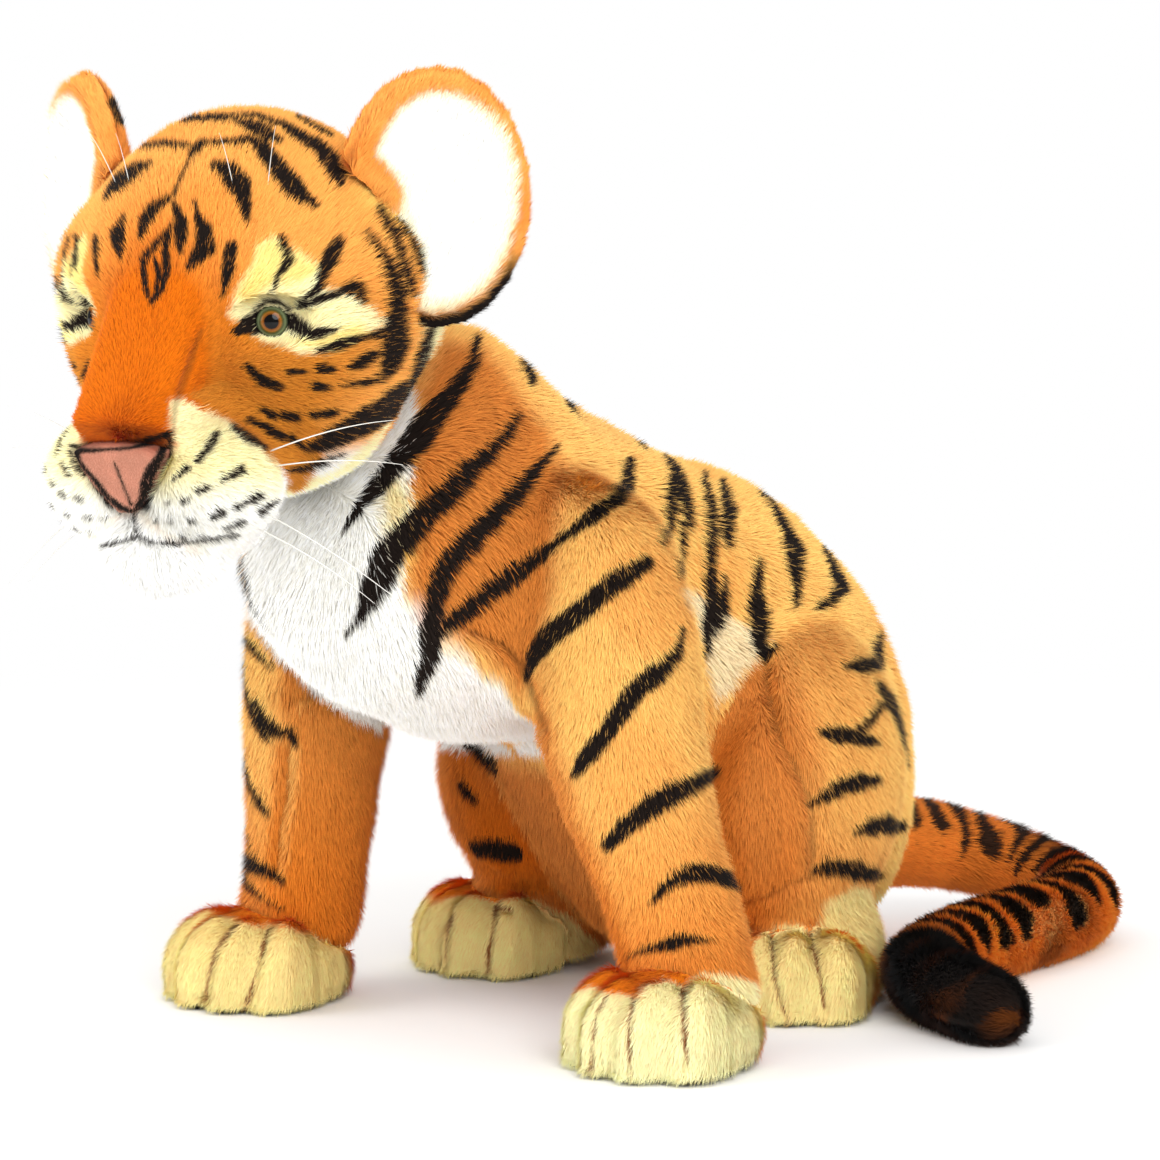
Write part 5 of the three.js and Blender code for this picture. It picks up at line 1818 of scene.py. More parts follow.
@dataclass
class PawHide:
    """One paw: four stuffed toes with drawn-in stitches, cream above and dark at the sole."""

    shop: Workshop
    front: bool
    left: bool
    hairs: int
    stitch_reach: tuple[float, float] = (9.0, 3.5)
    stitch_depth: tuple[float, float] = (2.4, 1.4)

    @property
    def name(self) -> str:
        """The paw's node."""
        return f"{'front' if self.front else 'hind'}_paw_{'left' if self.left else 'right'}"

    def build(self, body: BVHTree) -> None:
        """Sews the paw, draws in its toes and grows its pile.

        Args:
            body: The body's skin, which covers the paw's top.
        """
        hide = Hide(f"{self.name}_skin", [self.name], voxel=2.0, draw_in=1.6)
        hide.sew()
        mesh = hide.obj.data
        low, high = (np.array(tuple(c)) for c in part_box(self.name))
        middle = (low + high) / 2
        height = float(high[2])
        self.shape(hide, middle, height)
        co = vertices(mesh)
        z = co[:, 2] / MM
        dyed = tuple(BODY_PATCHES[name] for name in ("knuckle_near", "knuckle_far", "hind_near", "hind_far"))
        # The stitches print in the seam colour: painted shade in the grooves between the toes.
        coat = Coat(Printer(self.shop.view, skin_tree(mesh), Flip()), patches=dyed,
                    stripes=TOE_STITCHES[self.name], ink=Tint.SEAM, spread=0.75, extra=0.0)
        # Only the near front paw starts from the plain cream; the others take the darker, more orange cream as
        # painted shade.
        dye = Dye(Tint.TOE if self.front and self.left else Tint.TOE_SHADE, len(co))
        cloud = ripple(co, 0.03, 17)
        dye.lay(Tint.CREAM, smooth((cloud + 0.2) / 0.8) * 0.4)
        heel = smooth(((co[:, 1] - middle[1]) / MM - 14) / 20)
        top = smooth((z - height / MM * 0.70 + cloud * 2) / (height / MM * 0.12))
        dye.lay(Tint.DEEP, np.maximum(heel, top))
        nap = np.tile((0, -0.5, -0.75), (len(co), 1))
        pile = (5.6 + 1.6 * smooth((14 - z) / 10)) * (1 + 0.1 * ripple(co, 0.02, 4))
        hide.dress(dye.tint, nap, pile * MM, bare(co, body) * (z > 1.0))
        pelt = Pelt(f"{self.name}_pile", self.hairs, width=0.6, rise=0.5, stray=0.16, swirl=0.25, soften=0.92,
                    seed=51 + 2 * self.front + self.left)
        # The paws' pile takes the brighter finish: painted light for the dimmer light near the floor.
        patch = self.shop.pile.grow(hide.obj, pelt, None, coat, self.shop.paw_brightened_finish)
        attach(patch, "torso")
        hide.finish(self.shop.backing, coat)
        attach(hide.obj, "torso")
        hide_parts(self.name)
        log.info("%s: %d hairs", self.name, len(patch.data.polygons))

    def shape(self, hide: Hide, middle: np.ndarray, height: float) -> None:
        """Rounds the toes, narrows the paw towards the ankle and draws the stitches in.

        Args:
            hide: The paw's skin.
            middle: The middle of the paw's box.
            height: The paw's height in metres.
        """
        hide.fill_folds(5)
        hide.melt(3)
        co = vertices(hide.obj.data)
        centre = middle[:2] + np.array([0, 8 * MM])
        high = co[:, 2] / height
        share = 1 + 0.07 * np.exp(-((high - 0.55) / 0.3) ** 2) - 0.10 * smooth((high - 0.72) / 0.28)
        co[:, :2] = centre + (co[:, :2] - centre) * share[:, None]
        set_vertices(hide.obj.data, co)
        printer = Printer(self.shop.view, skin_tree(hide.obj.data), Flip())
        normals = vertex_normals(hide.obj.data)
        still, dent = np.zeros(len(co)), np.zeros(len(co))
        for stitch in TOE_STITCHES[self.name]:
            pulls = [printer.stroke(co, normals, stitch, still, reach) * depth
                     for reach, depth in zip(self.stitch_reach, self.stitch_depth)]
            dent = np.maximum(dent, sum(pulls))
        hide.push(-dent * MM)


@dataclass(frozen=True)
class Mound:
    """One swelling or hollow of the face, in the head's millimetres: its middle, spread and pull."""

    place: Point
    size: Point
    pull: Point


@dataclass
class HeadHide:
    """The head: skull, bridge, muzzle and chin in one stuffed skin."""

    shop: Workshop
    centre: Point = (0.0, -0.315, 0.328)
    turn: float = 8.0
    nodes: tuple[str, ...] = ("head", "nose_bridge", "muzzle_left", "muzzle_right", "chin")
    hairs: dict[str, int] = field(default_factory=lambda: {
        "head_left": 154000, "head_right": 138000, "muzzle": 64000})
    brow_taper: float = 0.08
    crease: float = 2.2
    forehead_crease: float = 2.6
    hair: float = 6.0
    nose_tip: Point = (0.0, -88.0, -50.0)
    mounds: tuple[Mound, ...] = (
        Mound((72, -2, 22), (20, 26, 26), (9.0, -3.0, 0.0)),
        Mound((66, 25, -38), (24, 36, 20), (-6.0, -4.0, 0.0)),
        Mound((0, -80, -49), (24, 16, 8), (0.0, -4.5, 0.0)),
        Mound((42, -56, 13), (17, 20, 7), (0.0, -3.0, 0.0)),
        Mound((42, -58, 12), (17, 16, 8), (0.0, 0.0, -2.0)),
        Mound((48, -50, -22), (16, 20, 8), (0.0, -2.0, 0.0)))

    def build(self) -> Hide:
        """Sews the skin.

        Returns:
            The skin.
        """
        hide = Hide("head_skin", list(self.nodes), voxel=2.0, draw_in=1.6)
        hide.sew()
        self.shape(hide)
        log.info("head skin: %d faces", len(hide.obj.data.polygons))
        return hide

    def shape(self, hide: Hide) -> None:
        """Sculpts the face: soft joins, sunken eyes under a brow, a narrower forehead and full temples.

        Args:
            hide: The skin.
        """
        mesh = hide.obj.data
        flip = Flip(self.centre, self.turn)
        x, y, z = (flip.local(vertices(mesh)) / MM).T
        ahead = y < -60
        near_nose = np.exp(-((x / 34) ** 2 + ((z + 58) / 16) ** 2)) * ahead
        hide.fill_folds(26, 1 - np.clip(near_nose * 1.2, 0, 1))
        hide.melt(10, np.exp(-((x / 40) ** 2 + ((z + 40) / 14) ** 2)) * ahead)
        here = flip.local(vertices(mesh)) / MM
        x, y, z = here.T
        move = np.zeros_like(here)
        move[:, 0] -= x * self.brow_taper * smooth((z - 5) / 50)
        for form in self.mounds:
            pull = np.stack([form.pull[0] * np.sign(x), 0 * x + form.pull[1], 0 * x + form.pull[2]], 1)
            move += mound(x, y, z, form.place, form.size)[:, None] * pull
        set_vertices(mesh, vertices(mesh) + (move * MM) @ turned(self.turn).T)
        co, normals = vertices(mesh), vertex_normals(mesh)
        still = np.zeros(len(co))
        printer = Printer(self.shop.view, skin_tree(mesh), flip)
        seam = Stroke(tuple((px, py, 3.0) for px, py, _ in HEAD_STRIPES["forehead_seam"].points), False)
        dent = printer.stroke(co, normals, seam, still, 6.0) * self.forehead_crease
        for fold in FACE_FOLDS.values():
            dent = np.maximum(dent, printer.stroke(co, normals, fold, still, 5.0) * self.crease)
        hide.push(-dent * MM)

    def colour(self, hide: Hide, body: BVHTree) -> tuple[Coat, np.ndarray]:
        """Dyes the skin and combs it away from the nose.

        Args:
            hide: The skin.
            body: The body's skin, which covers the neck.

        Returns:
            The marks to print, and each vertex's node.
        """
        mesh = hide.obj.data
        flip = Flip(self.centre, self.turn)
        # The bridge's near fold is painted darker: painted shade.
        coat = Coat(Printer(self.shop.view, skin_tree(mesh), flip), patches=tuple(HEAD_PATCHES.values()),
                    stripes=(*HEAD_STRIPES.values(), *MUZZLE_MARKS.values()),
                    seams=(FACE_FOLDS["bridge_near"],))
        co = vertices(mesh)
        zone = owners(co, list(self.nodes))
        here = flip.local(co) / MM
        x, y, z = here.T
        bridge = blur(mesh, (zone == 1).astype(float), 3)
        pads = blur(mesh, ((zone == 2) | (zone == 3)).astype(float), 2)
        chin = blur(mesh, (zone == 4).astype(float), 3)
        jaw = smooth((-z - 62 + np.abs(x) * 0.18) / 10) * (y > -70)
        nap = (unit(here - np.array(self.nose_tip)) + np.array([0, 0.1, 0])) @ turned(self.turn).T
        pile = self.hair - 2.2 * smooth(1 - np.hypot(np.abs(x) - 40, z + 8) / 30) * (y < -20)
        pile = pile * (1 - 0.45 * bridge) * (1 - 0.12 * pads)
        pile = pile + 3.0 * smooth((np.abs(x) - 50) / 20) + 1.5 * jaw
        dye = self.dyed(co, here, (bridge, pads, chin, jaw))
        hide.dress(dye, nap, np.maximum(pile, 1.2) * MM, bare(co, body))
        return coat, zone

    @staticmethod
    def dyed(co: np.ndarray, here: np.ndarray, parts: tuple[np.ndarray, ...]) -> np.ndarray:
        """The head's dyes, from the skull to the white chin and the bars behind the ears.

        Args:
            co: Each vertex's position.
            here: The same in the head's own millimetres.
            parts: How far each vertex belongs to bridge, muzzle pads, chin and jaw.

        Returns:
            One colour for each vertex.
        """
        x, y, z = here.T
        bridge, pads, chin, jaw = parts
        dye = Dye(Tint.HEAD, len(co))
        dye.lay(Tint.FACE, smooth((-y - 5) / 35) * smooth((16 - z) / 24))
        dye.lay(Tint.DEEP, smooth(1.15 - np.hypot(x / 46, (z + 2) / 55)) * smooth((-y - 20) / 30) * 0.8)
        dye.lay(Tint.DEEP, smooth((ripple(co, 0.05, 9) - 0.1) / 1.0) * 0.3)
        dye.lay(Tint.RUST, np.exp(-((x / 20) ** 2 + ((z - 8) / 15) ** 2)) * (y < -30) * 0.7)
        dye.lay(Tint.BRIDGE, bridge * 0.95)
        dye.lay(Tint.RUST, bridge * (0.2 + 0.7 * smooth((-z - 26) / 26)))
        dye.lay(Tint.WHITE, jaw)
        dye.lay(Tint.CREAM, pads)
        dye.lay(Tint.WHITE, pads * smooth((-z - 60) / 20) * 0.9)
        dye.lay(Tint.WHITE, chin)
        across = bars(z + 5 * ripple(co, 0.03, 61) - np.abs(x) * 0.25, 19, ripple(co, 0.05, 62))
        dye.lay(Tint.INK, across * smooth((y - 22) / 12) * smooth((z + 55) / 15))
        return dye.tint

    def grow(self, hide: Hide, coat: Coat, zone: np.ndarray) -> None:
        """Grows the head's pile in three patches.

        Args:
            hide: The skin.
            coat: Its marks.
            zone: Each vertex's node.
        """
        x = Flip(self.centre, self.turn).local(vertices(hide.obj.data))[:, 0]
        muzzle = zone >= 2
        rows = {"head_left": ~muzzle & (x >= 0), "head_right": ~muzzle & (x < 0), "muzzle": muzzle}
        for i, (name, held) in enumerate(rows.items()):
            pelt = Pelt(f"{name}_pile", self.hairs[name], width=0.54, rise=0.6, stray=0.26, swirl=0.42,
                        seed=80 + i)
            patch = self.shop.pile.grow(hide.obj, pelt, held.astype(float), coat)
            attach(patch, "head")
            "cream_plush" if name == "muzzle" else "orange_plush"
            log.info("%s: %d hairs", patch.name, len(patch.data.polygons))
        hide.finish(self.shop.backing, coat)
        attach(hide.obj, "head")
        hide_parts(*self.nodes)


@dataclass
class Nose:
    """The velour nose: pink, with a dark sewn edge and nostrils."""

    shop: Workshop
    hairs: int = 14000
    hair: float = 1.1

    def build(self) -> None:
        """Makes the nose and its short nap."""
        hide = Hide("nose_leather", ["nose"], voxel=0.9, draw_in=0.2, swell=0.3)
        hide.sew()
        co = vertices(hide.obj.data)
        printer = Printer(self.shop.view, skin_tree(hide.obj.data), Flip(HeadHide.centre, HeadHide.turn))
        coat = Coat(printer, stripes=tuple(NOSE_MARKS.values()), spread=1.0, extra=0.0)
        tint = Dye(Tint.PINK, len(co)).tint * (1 + 0.06 * ripple(co, 0.008, 2))[:, None]
        hide.dress(tint, np.tile((0, 0, -1.0), (len(co), 1)), np.full(len(co), self.hair * MM),
                   np.ones(len(co)))
        pelt = Pelt("nose_nap", self.hairs, width=0.32, rise=0.7, swirl=0.1, seed=91)
        patch = self.shop.pile.grow(hide.obj, pelt, None, coat)
        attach(patch, "head")
        hide.finish(self.shop.backing, coat)
        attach(hide.obj, "head")
        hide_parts("nose")
        log.info("nose: %d hairs", len(patch.data.polygons))


@dataclass
class Ear:
    """One ear: a cupped plush back with a long-haired pale lining, which bends at its base seam."""

    shop: Workshop
    left: bool
    hairs: int = 70000
    rim: tuple[float, float] = (0.3, 5.2)
    dark_below: float = 351.0
    hair: float = 4.6
    lining_hair: float = 2.4

    def build(self, head: BVHTree) -> None:
        """Sews the ear, grows its pile and joins it to the head.

        Args:
            head: The head's skin, which covers the ear's base.
        """
        side = "left" if self.left else "right"
        nodes = [f"ear_back_{side}", f"ear_lining_{side}"]
        joint = joint_of(f"ear_{side}_fold")
        pin, axis = np.array(joint["pos_m"], float), np.array(joint["axis"], float)
        hide = Hide(f"ear_{side}_skin", nodes, voxel=1.6, draw_in=1.0, swell=0.4)
        hide.sew()
        mesh = hide.obj.data
        co = vertices(mesh)
        zone = owners(co, nodes)
        low, high = (np.array(tuple(c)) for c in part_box(nodes[0]))
        centre = (low + high) / 2
        reach = centre - pin
        reach = unit((reach - (reach @ axis) * axis)[None])[0]
        lining = blur(mesh, (zone == 1).astype(float), 1)
        nap = np.tile(reach * 0.6 + np.array([0, 0, 0.7]), (len(co), 1))
        pile = (self.hair + lining * self.lining_hair) * MM
        tint = self.dyed(co, unit(co - centre), seam_distance(mesh, co, zone) / MM, lining)
        hide.dress(tint, nap, pile, bare(co, head))
        printer = Printer(self.shop.view, skin_tree(mesh), Flip(HeadHide.centre, HeadHide.turn))
        coat = Coat(printer, stripes=EAR_MARKS)
        pelt = Pelt(f"ear_{side}_pile", self.hairs, width=0.54, rise=0.5, stray=0.2, seed=100 + self.left)
        patch = self.shop.pile.grow(hide.obj, pelt, None, coat)
        hide.finish(self.shop.backing, coat)
        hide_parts(*nodes)
        for piece in (hide.obj, patch):
            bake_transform(piece, "head", f"ear_{side}",
                     start=tuple(pin - reach * 4 * MM), end=tuple(pin + reach * 12 * MM))
        log.info("ear_%s: %d hairs", side, len(patch.data.polygons))

    def dyed(self, co: np.ndarray, out: np.ndarray, edge: np.ndarray, lining: np.ndarray) -> np.ndarray:
        """The ear's dyes: orange back, dark below, white lining with a cream rim and painted shade along its
        seam.

        Args:
            co: Each vertex's position.
            out: Its direction from the ear's middle.
            edge: How far it lies from the lining's seam, in millimetres.
            lining: How far it belongs to the lining.

        Returns:
            One colour for each vertex.
        """
        dye = Dye(Tint.HEAD, len(co))
        dye.lay(Tint.DEEP, 0.35 * smooth(ripple(co, 0.03, 6)))
        dye.lay(Tint.INK, smooth((self.dark_below - co[:, 2] / MM) / 14) * (1 - lining))
        inward = out @ -turned(HeadHide.turn)[:, 0] * (1 if self.left else -1)
        wide = self.rim[0] + self.rim[1] * smooth((out[:, 2] * 0.7 + inward * 0.7 + 0.1) / 1.0)
        inner = Dye(Tint.WHITE, len(co))
        inner.lay(Tint.CREAM, smooth(1 - (edge - wide - 1) / 5) * 0.6)
        # Painted shade along the seam where the lining meets the back.
        inner.lay(Tint.SEAM, np.exp(-((edge - wide - 0.6) / 0.9) ** 2) * smooth((wide - 2) / 3) * 0.6)
        shown = (lining * smooth((edge - wide) / 2.0))[:, None]
        return dye.tint * (1 - shown) + inner.tint * shown


def joint_of(name: str) -> dict:
    """The frame's record of one joint."""
    return next(joint for joint in frame["joints"] if joint["name"] == name)


def seam_distance(mesh: bpy.types.Mesh, co: np.ndarray, zone: np.ndarray) -> np.ndarray:
    """How far each point lies from the seam where the ear's lining meets its back."""
    a, b, _ = net(mesh)
    seam = zone[a] != zone[b]
    tree = search_tree(co[np.unique(np.concatenate([a[seam], b[seam]]))])
    return np.array([tree.find(Vector(p))[2] for p in co])


@dataclass
class Tail:
    """The tail in one skin, barred on top and black at its end, cut into lengths that bend at its joints."""

    shop: Workshop
    spread: float = 205.0
    radius: float = 19.5
    root_y: float = 97.0
    route: tuple[Point, ...] = (
        (0.0, 0.0, 2.56), (0.02, 0.185, 2.46), (0.068, 0.366, 2.15), (0.166, 0.507, 1.64),
        (0.302, 0.532, 1.18), (0.439, 0.424, 1.0), (0.519, 0.21, 1.0), (0.54, -0.034, 1.0),
        (0.575, -0.278, 1.0), (0.66, -0.541, 1.0), (0.765, -0.64, 0.949), (0.87, -0.702, 0.88),
        (0.968, -0.737, 0.8))
    nodes: tuple[str, ...] = ("tail_base", "tail_middle", "tail_tip")
    joints: tuple[str, ...] = ("tail_root", "tail_curl", "tail_tip_bend")
    hairs: tuple[int, ...] = (38000, 50000, 46000)
    hair: float = 7.5
    samples: int = 601
    softening: int = 220
    black_end: float = 100.0

    def line(self) -> tuple[np.ndarray, np.ndarray]:
        """The tail's middle line.

        Returns:
            Its points, and the length along it at each of them, in metres.
        """
        spots = np.array(self.route) * np.array([self.spread, self.spread, self.radius])
        spots = (spots + np.array([0, self.root_y, 0])) * MM
        fine = np.linspace(0, len(spots) - 1, self.samples)
        path = np.stack([np.interp(fine, np.arange(len(spots)), spots[:, i]) for i in range(3)], 1)
        for _ in range(self.softening):
            path[1:-1] = (path[:-2] + 2 * path[1:-1] + path[2:]) / 4
        length = np.concatenate([[0], np.cumsum(np.linalg.norm(np.diff(path, axis=0), axis=1))])
        return path, length

    def along(self, points: np.ndarray) -> tuple[np.ndarray, np.ndarray]:
        """Each point's place along the tail.

        Args:
            points: Positions.

        Returns:
            The length along the tail, and the tail's direction there.
        """
        path, length = self.line()
        ways = unit(np.gradient(path, axis=0))
        tree = search_tree(path)
        best = np.array([tree.find(Vector(p))[1] for p in points])
        return length[best] + ((points - path[best]) * ways[best]).sum(1), ways[best]

    def build(self, body: BVHTree) -> None:
        """Sews the tail, cuts it into lengths at its joints and grows the pile of each.

        Args:
            body: The body's skin.
        """
        hide = Hide("tail_skin", list(self.nodes), voxel=2.4, draw_in=2.0, swell=0.6, passes=3)
        hide.sew()
        co = vertices(hide.obj.data)
        place, way = self.along(co)
        total = self.line()[1][-1]
        pins = [np.array(joint_of(name)["pos_m"], float) for name in self.joints]
        marks = [float(self.along(pin[None])[0][0]) for pin in pins]
        cover = bare(co, body) * (co[:, 2] > 1.0 * MM)
        hide.dress(self.dyed(co, place, marks[1], total), way, np.full(len(co), self.hair * MM), cover)
        cuts = [-1.0, (marks[0] + marks[1]) / 2, (marks[1] + marks[2]) / 2, 9.0]
        coat = TailCoat(self, turn=marks[1] + 20 * MM)
        for i, name in enumerate(self.nodes):
            piece = self.cut(hide.obj, place, cuts[i], cuts[i + 1], f"{name}_skin")
            pelt = Pelt(f"{name}_pile", self.hairs[i], width=0.68, rise=0.6, seed=120 + i)
            patch = self.shop.pile.grow(piece, pelt, None, coat)
            self.close(piece)
            Hide(piece.name, [], obj=piece).finish(self.shop.backing, coat)
            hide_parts(name)
            self.join(i, pins[i], marks[i], (piece, patch))
            log.info("%s: %d hairs", patch.name, len(patch.data.polygons))
        bpy.data.objects.remove(hide.obj)

    def join(self, index: int, pin: np.ndarray, mark: float, pieces: tuple[bpy.types.Object, ...]) -> None:
        """Blends a length of skin and its pile across the joint at its start.

        Args:
            index: Which length it is, from the root.
            pin: The joint's place.
            mark: Its length along the tail.
            pieces: The skin and its pile.
        """
        path, length = self.line()
        heading = unit(np.gradient(path, axis=0))[int(np.abs(length - mark).argmin())]
        pair = (("torso", *self.nodes)[index], self.nodes[index])
        for piece in pieces:
            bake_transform(piece, *pair, start=tuple(pin - heading * 14 * MM), end=tuple(pin + heading * 16 * MM))

    def dyed(self, co: np.ndarray, place: np.ndarray, curl: float, total: float) -> np.ndarray:
        """The tail's dyes: orange, paler past the curl, and a cloudy black end.

        Args:
            co: Each vertex's position.
            place: Its length along the tail.
            curl: Where the tail turns.
            total: How long the tail is.

        Returns:
            One colour for each vertex.
        """
        cloud = ripple(co, 0.04, 21)
        dye = Dye(Tint.TAIL, len(co))
        dye.lay(Tint.TAIL_PALE, smooth((place - curl) / (30 * MM)))
        dye.tint = dye.tint * (1 + 0.14 * cloud)[:, None]
        end = smooth((place - total + (self.black_end + cloud * 8) * MM) / (40 * MM))
        black = Dye(Tint.INK, len(co))
        black.lay(Tint.TAIL_END, smooth(0.5 + ripple(co, 0.022, 33)))
        return dye.tint * (1 - end[:, None]) + black.tint * end[:, None]

    @staticmethod
    def cut(skin: bpy.types.Object, place: np.ndarray, low: float, high: float,
            name: str) -> bpy.types.Object:
        """Copies the length of skin between two places along the tail.

        Args:
            skin: The whole tail.
            place: Each vertex's length along it.
            low: Where the length starts.
            high: Where it ends.
            name: The new object's name.

        Returns:
            The length, open at its cuts.
        """
        mesh = skin.data.copy()
        bm = bmesh.new()
        bm.from_mesh(mesh)
        bm.faces.ensure_lookup_table()
        gone = [f for f in bm.faces if not low <= np.mean([place[v.index] for v in f.verts]) < high]
        bmesh.ops.delete(bm, geom=gone, context="FACES")
        bm.to_mesh(mesh)
        bm.free()
        mesh.name = name
        return add_object(name, mesh)

    @staticmethod
    def close(obj: bpy.types.Object) -> None:
        """Closes the cuts of a length of skin.

        Args:
            obj: The length.
        """
        bm = bmesh.new()
        bm.from_mesh(obj.data)
        bmesh.ops.holes_fill(bm, edges=[e for e in bm.edges if e.is_boundary], sides=0)
        bmesh.ops.triangulate(bm, faces=[f for f in bm.faces if len(f.verts) > 4])
        bm.to_mesh(obj.data)
        bm.free()


@dataclass
class TailCoat:
    """The tail's bars, which lie across its top."""

    tail: Tail
    turn: float
    pitch: float = 17.0
    wide_pitch: float = 25.0
    scatter: float = 0.6

    def print_marks(self, points: np.ndarray, normals: np.ndarray, coat: np.ndarray,
                    hairs: bool = False) -> np.ndarray:
        """Prints the bars.

        Args:
            points: Positions.
            normals: Outward directions.
            coat: The colours before printing.
            hairs: Whether the points are single hairs, whose places scatter.

        Returns:
            The printed colours.
        """
        place = self.tail.along(points)[0] / MM + ripple(points, 0.03, 41) * 3.0
        if hairs:
            place = place + np.random.default_rng(9).normal(0, self.scatter, len(points))
        turn = self.turn / MM
        phase = np.minimum(place, turn) / self.pitch + np.maximum(place - turn, 0) / self.wide_pitch
        number = np.floor(phase)
        # The broken part of a big sine gives each bar its own number from 0 to 1.
        chance = np.sin(number * 12.9898) * 43758.5453
        chance = chance - np.floor(chance)
        off_middle = np.abs(phase - number - 0.5) * 2
        lean = normals[:, 2] + 0.25 * ripple(points, 0.025, 43)
        fade = smooth((lean + 0.3 - chance * 0.5) / 0.5)
        width = (0.50 + 0.22 * chance) * fade
        mask = (smooth((width - off_middle) / 0.16 + 0.5) * (fade > 0.05))[:, None] * 0.97
        return coat * (1 - mask) + Tint.INK.linear() * mask


@dataclass
class Eyes:
    """Two domed plastic eyes and the washers that lock them."""

    toe_out: float = 30.0
    rise: float = 5.4
    stem: tuple[float, float] = (2.0, -16.0)
    back: tuple[float, float] = (0.97, -0.4)
    rim_band: tuple[float, float] = (4.9, 5.6)
    off_stem: float = 5.0
    steps: int = 14
    sides: int = 48

    def build(self) -> None:
        """Makes both domes and dresses the washers."""
        washer = MouldedPlastic("washer_plastic").build()
        for side, sign in SIDES.items():
            centre, axis, radius = self.measure(frame["nodes"][f"eye_{side}"], sign)
            dome = self.dome(f"eye_dome_{side}", centre, axis, radius)
            gloss = EyeGloss(f"eye_gloss_{side}", centre=tuple(centre), axis=tuple(axis), radius=radius)
            dome.data.materials.append(gloss.build())
            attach(dome, "head")
            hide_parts(f"eye_{side}")
            ring = frame["nodes"][f"eye_washer_{side}"]
            ring.data.materials.clear()
            ring.data.materials.append(washer)
            log.info("eye_%s at %s", side, np.round(centre / MM, 1))

    def measure(self, node: bpy.types.Object, sign: int) -> tuple[np.ndarray, np.ndarray, float]:
        """Finds an eye's place from its solid.

        Args:
            node: The CAD eye with its stem.
            sign: 1 for the cub's left eye, -1 for its right.

        Returns:
            The middle of the dome's flat back, the way it looks, and its radius.
        """
        co = vertices(node.data)
        axis = -turned(HeadHide.turn + self.toe_out * sign)[:, 1]
        height = co @ axis
        near, far = (height.max() - depth * MM for depth in self.rim_band)
        rim = co[(height < near) & (height > far)]
        wide = rim[np.linalg.norm(rim - rim.mean(0), axis=1) > self.off_stem * MM]
        centre = wide.mean(0)
        return centre, axis, float(np.linalg.norm(wide - centre, axis=1).mean())

    def dome(self, name: str, centre: np.ndarray, axis: np.ndarray, radius: float) -> bpy.types.Object:
        """Turns the dome and its stem as one smooth closed form.

        Args:
            name: The object's name.
            centre: The middle of its back.
            axis: The way it looks.
            radius: The dome's radius.

        Returns:
            The eye.
        """
        thin, foot = self.stem[0] * MM, self.stem[1] * MM
        lip = self.back[1] * MM
        profile = [(0.0, foot), (thin, foot), (thin, lip), (radius * self.back[0], lip), (radius, 0.0)]
        turns = [math.pi / 2 * i / self.steps for i in range(1, self.steps)]
        profile += [(radius * math.cos(turn), self.rise * MM * math.sin(turn)) for turn in turns]
        profile.append((0.0, self.rise * MM))
        up = np.array((0, 0, 1.0))
        bm = bmesh.new()
        close_rings(bm, [ring_of(bm, centre + axis * h, axis, up, r, self.sides) for r, h in profile])
        return finish_mesh(bm, name)


@dataclass
class Whiskers:
    """Nylon whiskers: four beside the muzzle and two above the eye on each side."""

    radius: float = 80.0
    sag: float = 5.0
    bend: float = 0.55
    thick: float = 0.34
    brow_share: float = 0.6
    taper: float = 0.72
    steps: int = 22
    routes: dict[str, tuple[Point, Point]] = field(default_factory=lambda: {
        "cheek_1": ((0.5, -0.625, -0.75), (1.225, -0.45, -0.55)),
        "cheek_2": ((0.51, -0.625, -0.81), (1.24, -0.4, -0.775)),
        "cheek_3": ((0.475, -0.65, -1.09), (1.1, -0.45, -1.475)),
        "cheek_4": ((0.49, -0.64, -1.0), (1.275, -0.4, -1.5)),
        "brow_1": ((0.45, -0.45, 0.525), (0.6, -0.575, 0.91)),
        "brow_2": ((0.325, -0.525, 0.5), (0.325, -0.675, 0.875))})

    def build(self) -> None:
        """Draws every whisker."""
        finish = Nylon("whisker_nylon").build()
        for side, sign in SIDES.items():
            for name, ends in self.routes.items():
                root, tip = np.array(ends) * np.array([sign, 1, 1]) * self.radius * MM
                self.draw(f"whisker_{name}_{side}", root, tip, finish)

    def draw(self, node: str, root: np.ndarray, tip: np.ndarray, finish: bpy.types.Material) -> None:
        """Draws one whisker as a tapered thread.

        Args:
            node: The CAD whisker that it replaces.
            root: Its root, from the head's centre.
            tip: Its tip.
            finish: Its material.
        """
        knee = root + (tip - root) * self.bend + np.array([0, 0, self.sag * MM])
        t = np.linspace(0, 1, self.steps)[:, None]
        path = (1 - t) ** 2 * root + 2 * t * (1 - t) * knee + t * t * tip
        path = path @ turned(HeadHide.turn).T + np.array(HeadHide.centre)
        thick = self.thick * (self.brow_share if "brow" in node else 1.0) * MM
        bm = bmesh.new()
        rings = []
        for i, place in enumerate(path):
            way = unit((path[min(i + 1, len(path) - 1)] - path[max(i - 1, 0)])[None])[0]
            radius = thick * (1 - self.taper * (i / (len(path) - 1)) ** 1.5)
            rings.append(ring_of(bm, place, way, np.array((0.1, 0.2, 1.0)), radius, 6))
        close_rings(bm, rings)
        thread = finish_mesh(bm, f"{node}_thread")
        thread.data.materials.append(finish)
        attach(thread, "head")
        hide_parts(node)


